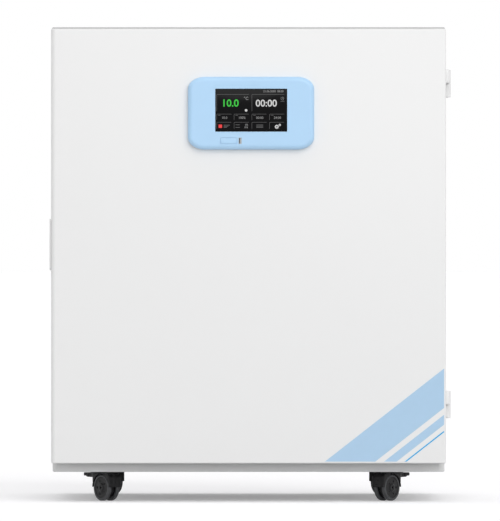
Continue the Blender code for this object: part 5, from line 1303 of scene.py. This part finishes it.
def duct():
    """The perforated cover over the cooler: soft front edges, two columns of slots and the fan's grille."""
    low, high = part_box("air_duct")

    def form(inset, back):
        made = block("duct_form", low + Vector((inset, inset, inset)), (high.x - inset, back, high.z - inset))
        return bevel(made, 0.004 - inset, 4, lambda e: sharp(e) and not lies_at(e, Y, back))

    cover = cut(form(0, high.y), form(SHEET, high.y + 0.01))
    pitch = 0.044
    z = span(low.z + pitch, 0.006)
    near, far = high.x - 0.092, high.x - 0.022
    for x in ((near, far), (-far, -near)):
        slot = rounded("slot", *corners(x, span(low.y, 0.01), z), Y, 0.00295, segments=8)
        cut(cover, pattern(slot, (9, Z * pitch)))
    cut(cover, slot_disc(middle_of("chamber_fan_motor").z, low.y, 0.072))
    cover.name = "duct_cover"
    dress(cover, "cabinet", STAINLESS_WIDE, "stainless", "air_duct")
    rows = (low.z + 0.016, (low.z + high.z) / 2, high.z - 0.016)
    spots = [(side * (high.x - 0.011), low.y, z) for side in (-1, 1) for z in rows]
    pan_screws("duct_screw", spots, -Y, "cabinet", "stainless")


def probe():
    low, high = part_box("temperature_probe")
    centre = ((low.x + high.x) / 2, high.y, (low.z + high.z) / 2)
    profile = [(0, 0.0056), (-0.0006, 0.0059), (-0.0026, 0.0059), (-0.0034, 0.0044), (-0.0060, 0.0030)]
    profile += [(-0.0690, 0.0030), (-0.0700, 0.0029), (-0.0718, 0.0022), (-0.0728, 0.0010)]
    dress(turned("probe_tube", centre, Y, profile), "cabinet", STEEL, "stainless", "temperature_probe")


def glass_leaf():
    """The inner door: a pane with ground edges, a pull, and two screwed pivots."""
    low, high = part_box("glass_pane")
    pane = rounded("inner_pane", low, high, Y, 0.004, 0.0007, (0, 1))
    dress(pane, "glass_door", CLEAR_GLASS, "clear_glass", "glass_pane")
    pane.data.materials.append(GLASS_EDGE)
    for face in pane.data.polygons:
        face.material_index = 0 if abs(face.normal.y) > 0.99 else 1
    pivot_x, middle = high.x + 0.006, (low.y + high.y) / 2
    for level, edge, up in (("upper", high.z, 1), ("lower", low.z, -1)):
        z = sorted((edge + up * 0.004, edge - up * 0.034))
        y = (low.y - 0.003, low.y - SEAT)
        clamp = rounded("clamp", *corners((high.x - 0.034, pivot_x), y, z), Y, 0.003, 0.0007, (0,))
        strip_low = (high.x + SEAT, y[1] - 0.001, z[0] + SEAT)
        weld(clamp, block("strip", strip_low, (pivot_x, high.y, z[1] - SEAT)))
        weld(clamp, turned("barrel", (pivot_x, middle, 0), Z, rod(*z, 0.0048, 0.0008), 40))
        start, end = sorted((edge + up * 0.002, edge + up * 0.019))
        ends = (0.0030, 0.0024) if up > 0 else (0.0024, 0.0030)
        pin = [(start, ends[0]), (start + 0.0006, 0.0030), (end - 0.0006, 0.0030), (end, ends[1])]
        weld(clamp, turned("pin", (pivot_x, middle, 0), Z, pin, 32))
        clamp.name = f"pivot_{level}"
        dress(clamp, "glass_door", STEEL, "stainless", f"glass_pivot_{level}")
        for number, x in enumerate((high.x - 0.0265, high.x - 0.0105)):
            dome = [(-0.0003, 0.0032), (0.0007, 0.0031), (0.0014, 0.0024), (0.0017, 0.0012)]
            spot = Vector((x, y[0], (z[0] + z[1]) / 2))
            head = turned(f"pivot_{level}_screw_{number}", spot, -Y, dome, 32)
            bore(head, spot - Y * 0.0006, -Y, 0, 0.003, 0.0011, 6)
            dress(head, "glass_door", STEEL, "stainless")
    low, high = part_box("glass_pull")
    bar = rounded("pull_bar", low, (high.x, low.y + 0.0057, high.z), Y, 0.0044, 0.0016, (0, 1))
    stem_z = span((low.z + high.z) / 2, high.z - low.z - 0.018)
    stem = corners((low.x + 0.0045, high.x - 0.0045), (low.y + 0.004, high.y), stem_z)
    weld(bar, rounded("stem", *stem, Y, 0.002))
    bore(bar, ((low.x + high.x) / 2, low.y - 0.0262, 0), Z, *stem_z, 0.027, 96)
    dress(bar, "glass_door", STEEL, "stainless", "glass_pull")


def door_inside():
    """The door's liner with its raised, dished plug, and the bellows gasket round it."""
    low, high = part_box("door_liner")
    liner = rounded("inner_liner", low, (high.x, low.y + 0.0015, high.z), Y, 0.003)
    frame_low, frame_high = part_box("front_frame")
    room, rim = Vector((0.028, 0, 0.028)), Vector((0.045, 0, 0.045))
    plug_low, plug_high = frame_low + room, frame_high - room
    plug_low.y, plug_high.y = low.y + 0.0007, high.y
    weld(liner, rounded("plug", plug_low, plug_high, Y, 0.012))
    dish_low, dish_high = plug_low + rim, plug_high - rim
    dish_low.y, dish_high.y = low.y + 0.0015, high.y + 0.01
    cut(liner, rounded("dish", dish_low, dish_high, Y, 0.0225))
    bevel(liner, 0.0022, 4, rim_of(liner, Y, (1,)))
    dress(liner, "door", WHITE_PLASTIC, "white_plastic", "door_liner")
    low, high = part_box("door_gasket")
    gasket = None
    for start, end, inset, width, round_rim in (
        (0.0, 0.0026, 0.0, 0.020, 0.0008),
        (0.0020, 0.0040, 0.0050, 0.010, 0),
        (0.0036, 0.0052, 0.0026, 0.0148, 0.0006),
        (0.0048, 0.0070, 0.0050, 0.010, 0),
        (0.0066, 0.0114, 0.0012, 0.0176, 0.0018),
    ):
        ring_low = (low.x + inset, low.y + start, low.z + inset)
        ring_high = (high.x - inset, low.y + end, high.z - inset)
        ring = ring_of("ring", ring_low, ring_high, width, 0.010, round_rim, (0, 1))
        gasket = weld(gasket, ring) if gasket else ring
    gasket.name = "bellows_gasket"
    dress(gasket, "door", GASKET, "gasket_rubber", "door_gasket")


def hinge_pin(level):
    low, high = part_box(f"hinge_pin_{level}")
    centre = (low + high) / 2
    half = (high.z - low.z) / 2
    pin = turned(f"pin_{level}", centre, Z, rod(-half, half, 0.0030, 0.0008), 40)
    dress(pin, "cabinet", STEEL, "stainless", f"hinge_pin_{level}")


rear_sheet()
port()
inlet()
rocker()
rotor("chamber_fan_rotor", 0.020, 0.070, 6)
rotor("rear_fan_rotor", 0.0198, 0.0545, 7)
fan_motor()
rear_fan_frame()
chamber()
front_frame()
duct()
probe()
glass_leaf()
door_inside()
for level in ("upper", "lower"):
    hinge_pin(level)
    shelf(f"shelf_{level}")
ladder("left", -1)
ladder("right", 1)


# What the remaining solids are made of

NODE_FINISH = {
    FOAM: "cabinet_foam door_foam",
    CERAMIC: "peltier_module",
    BOARD: "control_board",
    ZINC: "display_board rear_panel power_supply",
    ALUMINIUM: "cold_heatsink hot_heatsink",
}
for finish, names in NODE_FINISH.items():
    for name in names.split():
        solid = frame["nodes"][name]
        solid.data.materials.clear()
        solid.data.materials.append(finish)


# Floor, light and camera


def seen_rays(tree):
    """1 for the rays that show the backdrop itself: to the eye, in a reflection or through glass."""
    path = tree.nodes.new("ShaderNodeLightPath")
    kinds = ("Camera", "Glossy", "Transmission")
    camera, glossy, through = (Wire(tree, path.outputs[f"Is {kind} Ray"]) for kind in kinds)
    return camera.maths("MAXIMUM", camera, camera.maths("MAXIMUM", glossy, through))


def stage_floor():
    """A pale floor. The camera sees it white where the light reaches it, and as shade near the object."""
    bpy.ops.object.select_all(action="DESELECT")
    bpy.ops.mesh.primitive_circle_add(vertices=96, radius=400, fill_type="NGON")
    floor = settle(bpy.context.object, "studio_floor")
    made = Finish("studio_floor", (0.8, 0.8, 0.8), 0.9, specular_ior_level=0.0, emission_strength=1.0)
    shown = seen_rays(made.place.tree)
    made.set("Base Color", shown.blend((0.70, 0.70, 0.70), (0.88, 0.875, 0.89)))
    made.set("Emission Color", shown.blend((0.0, 0.0, 0.0), (0.25, 0.25, 0.25)))
    floor.data.materials.append(made.material)


def studio_world():
    world = bpy.data.worlds.new("studio")
    bpy.context.scene.world = world
    world.use_nodes = True
    tree = world.node_tree
    backdrop = tree.nodes["Background"]
    light = seen_rays(tree).blend((0.60, 0.60, 0.60), (1.0, 1.0, 1.0))
    tree.links.new(light.socket, backdrop.inputs["Color"])


def soft_light(name, towards, power, spread):
    """Even light from a wide patch of sky; towards is the way to that patch."""
    data = bpy.data.lights.new(name, "SUN")
    data.energy = power
    data.angle = math.radians(spread)
    made = bpy.data.objects.new(name, data)
    bpy.context.scene.collection.objects.link(made)
    made.rotation_euler = Vector(towards).to_track_quat("Z", "Y").to_euler()


def studio_camera():
    """A long lens square to the door."""
    data = bpy.data.cameras.new("photo_camera")
    distance, view_height = 20.0, 1.108
    data.sensor_width = 36.0
    data.lens = distance * data.sensor_width / view_height
    data.clip_end = 1000.0
    made = bpy.data.objects.new("photo_camera", data)
    bpy.context.scene.collection.objects.link(made)
    made.location = (0.0032, DOOR_FRONT - distance, 0.5142)
    made.rotation_euler = (math.pi / 2, 0, 0)
    bpy.context.scene.camera = made


stage_floor()
studio_world()
soft_light("key_light", (0.26, -0.86, 0.42), 1.27, 50)
soft_light("top_light", (-0.10, 0.20, 1.0), 0.35, 70)
studio_camera()
bpy.context.scene.view_settings.view_transform = "Standard"
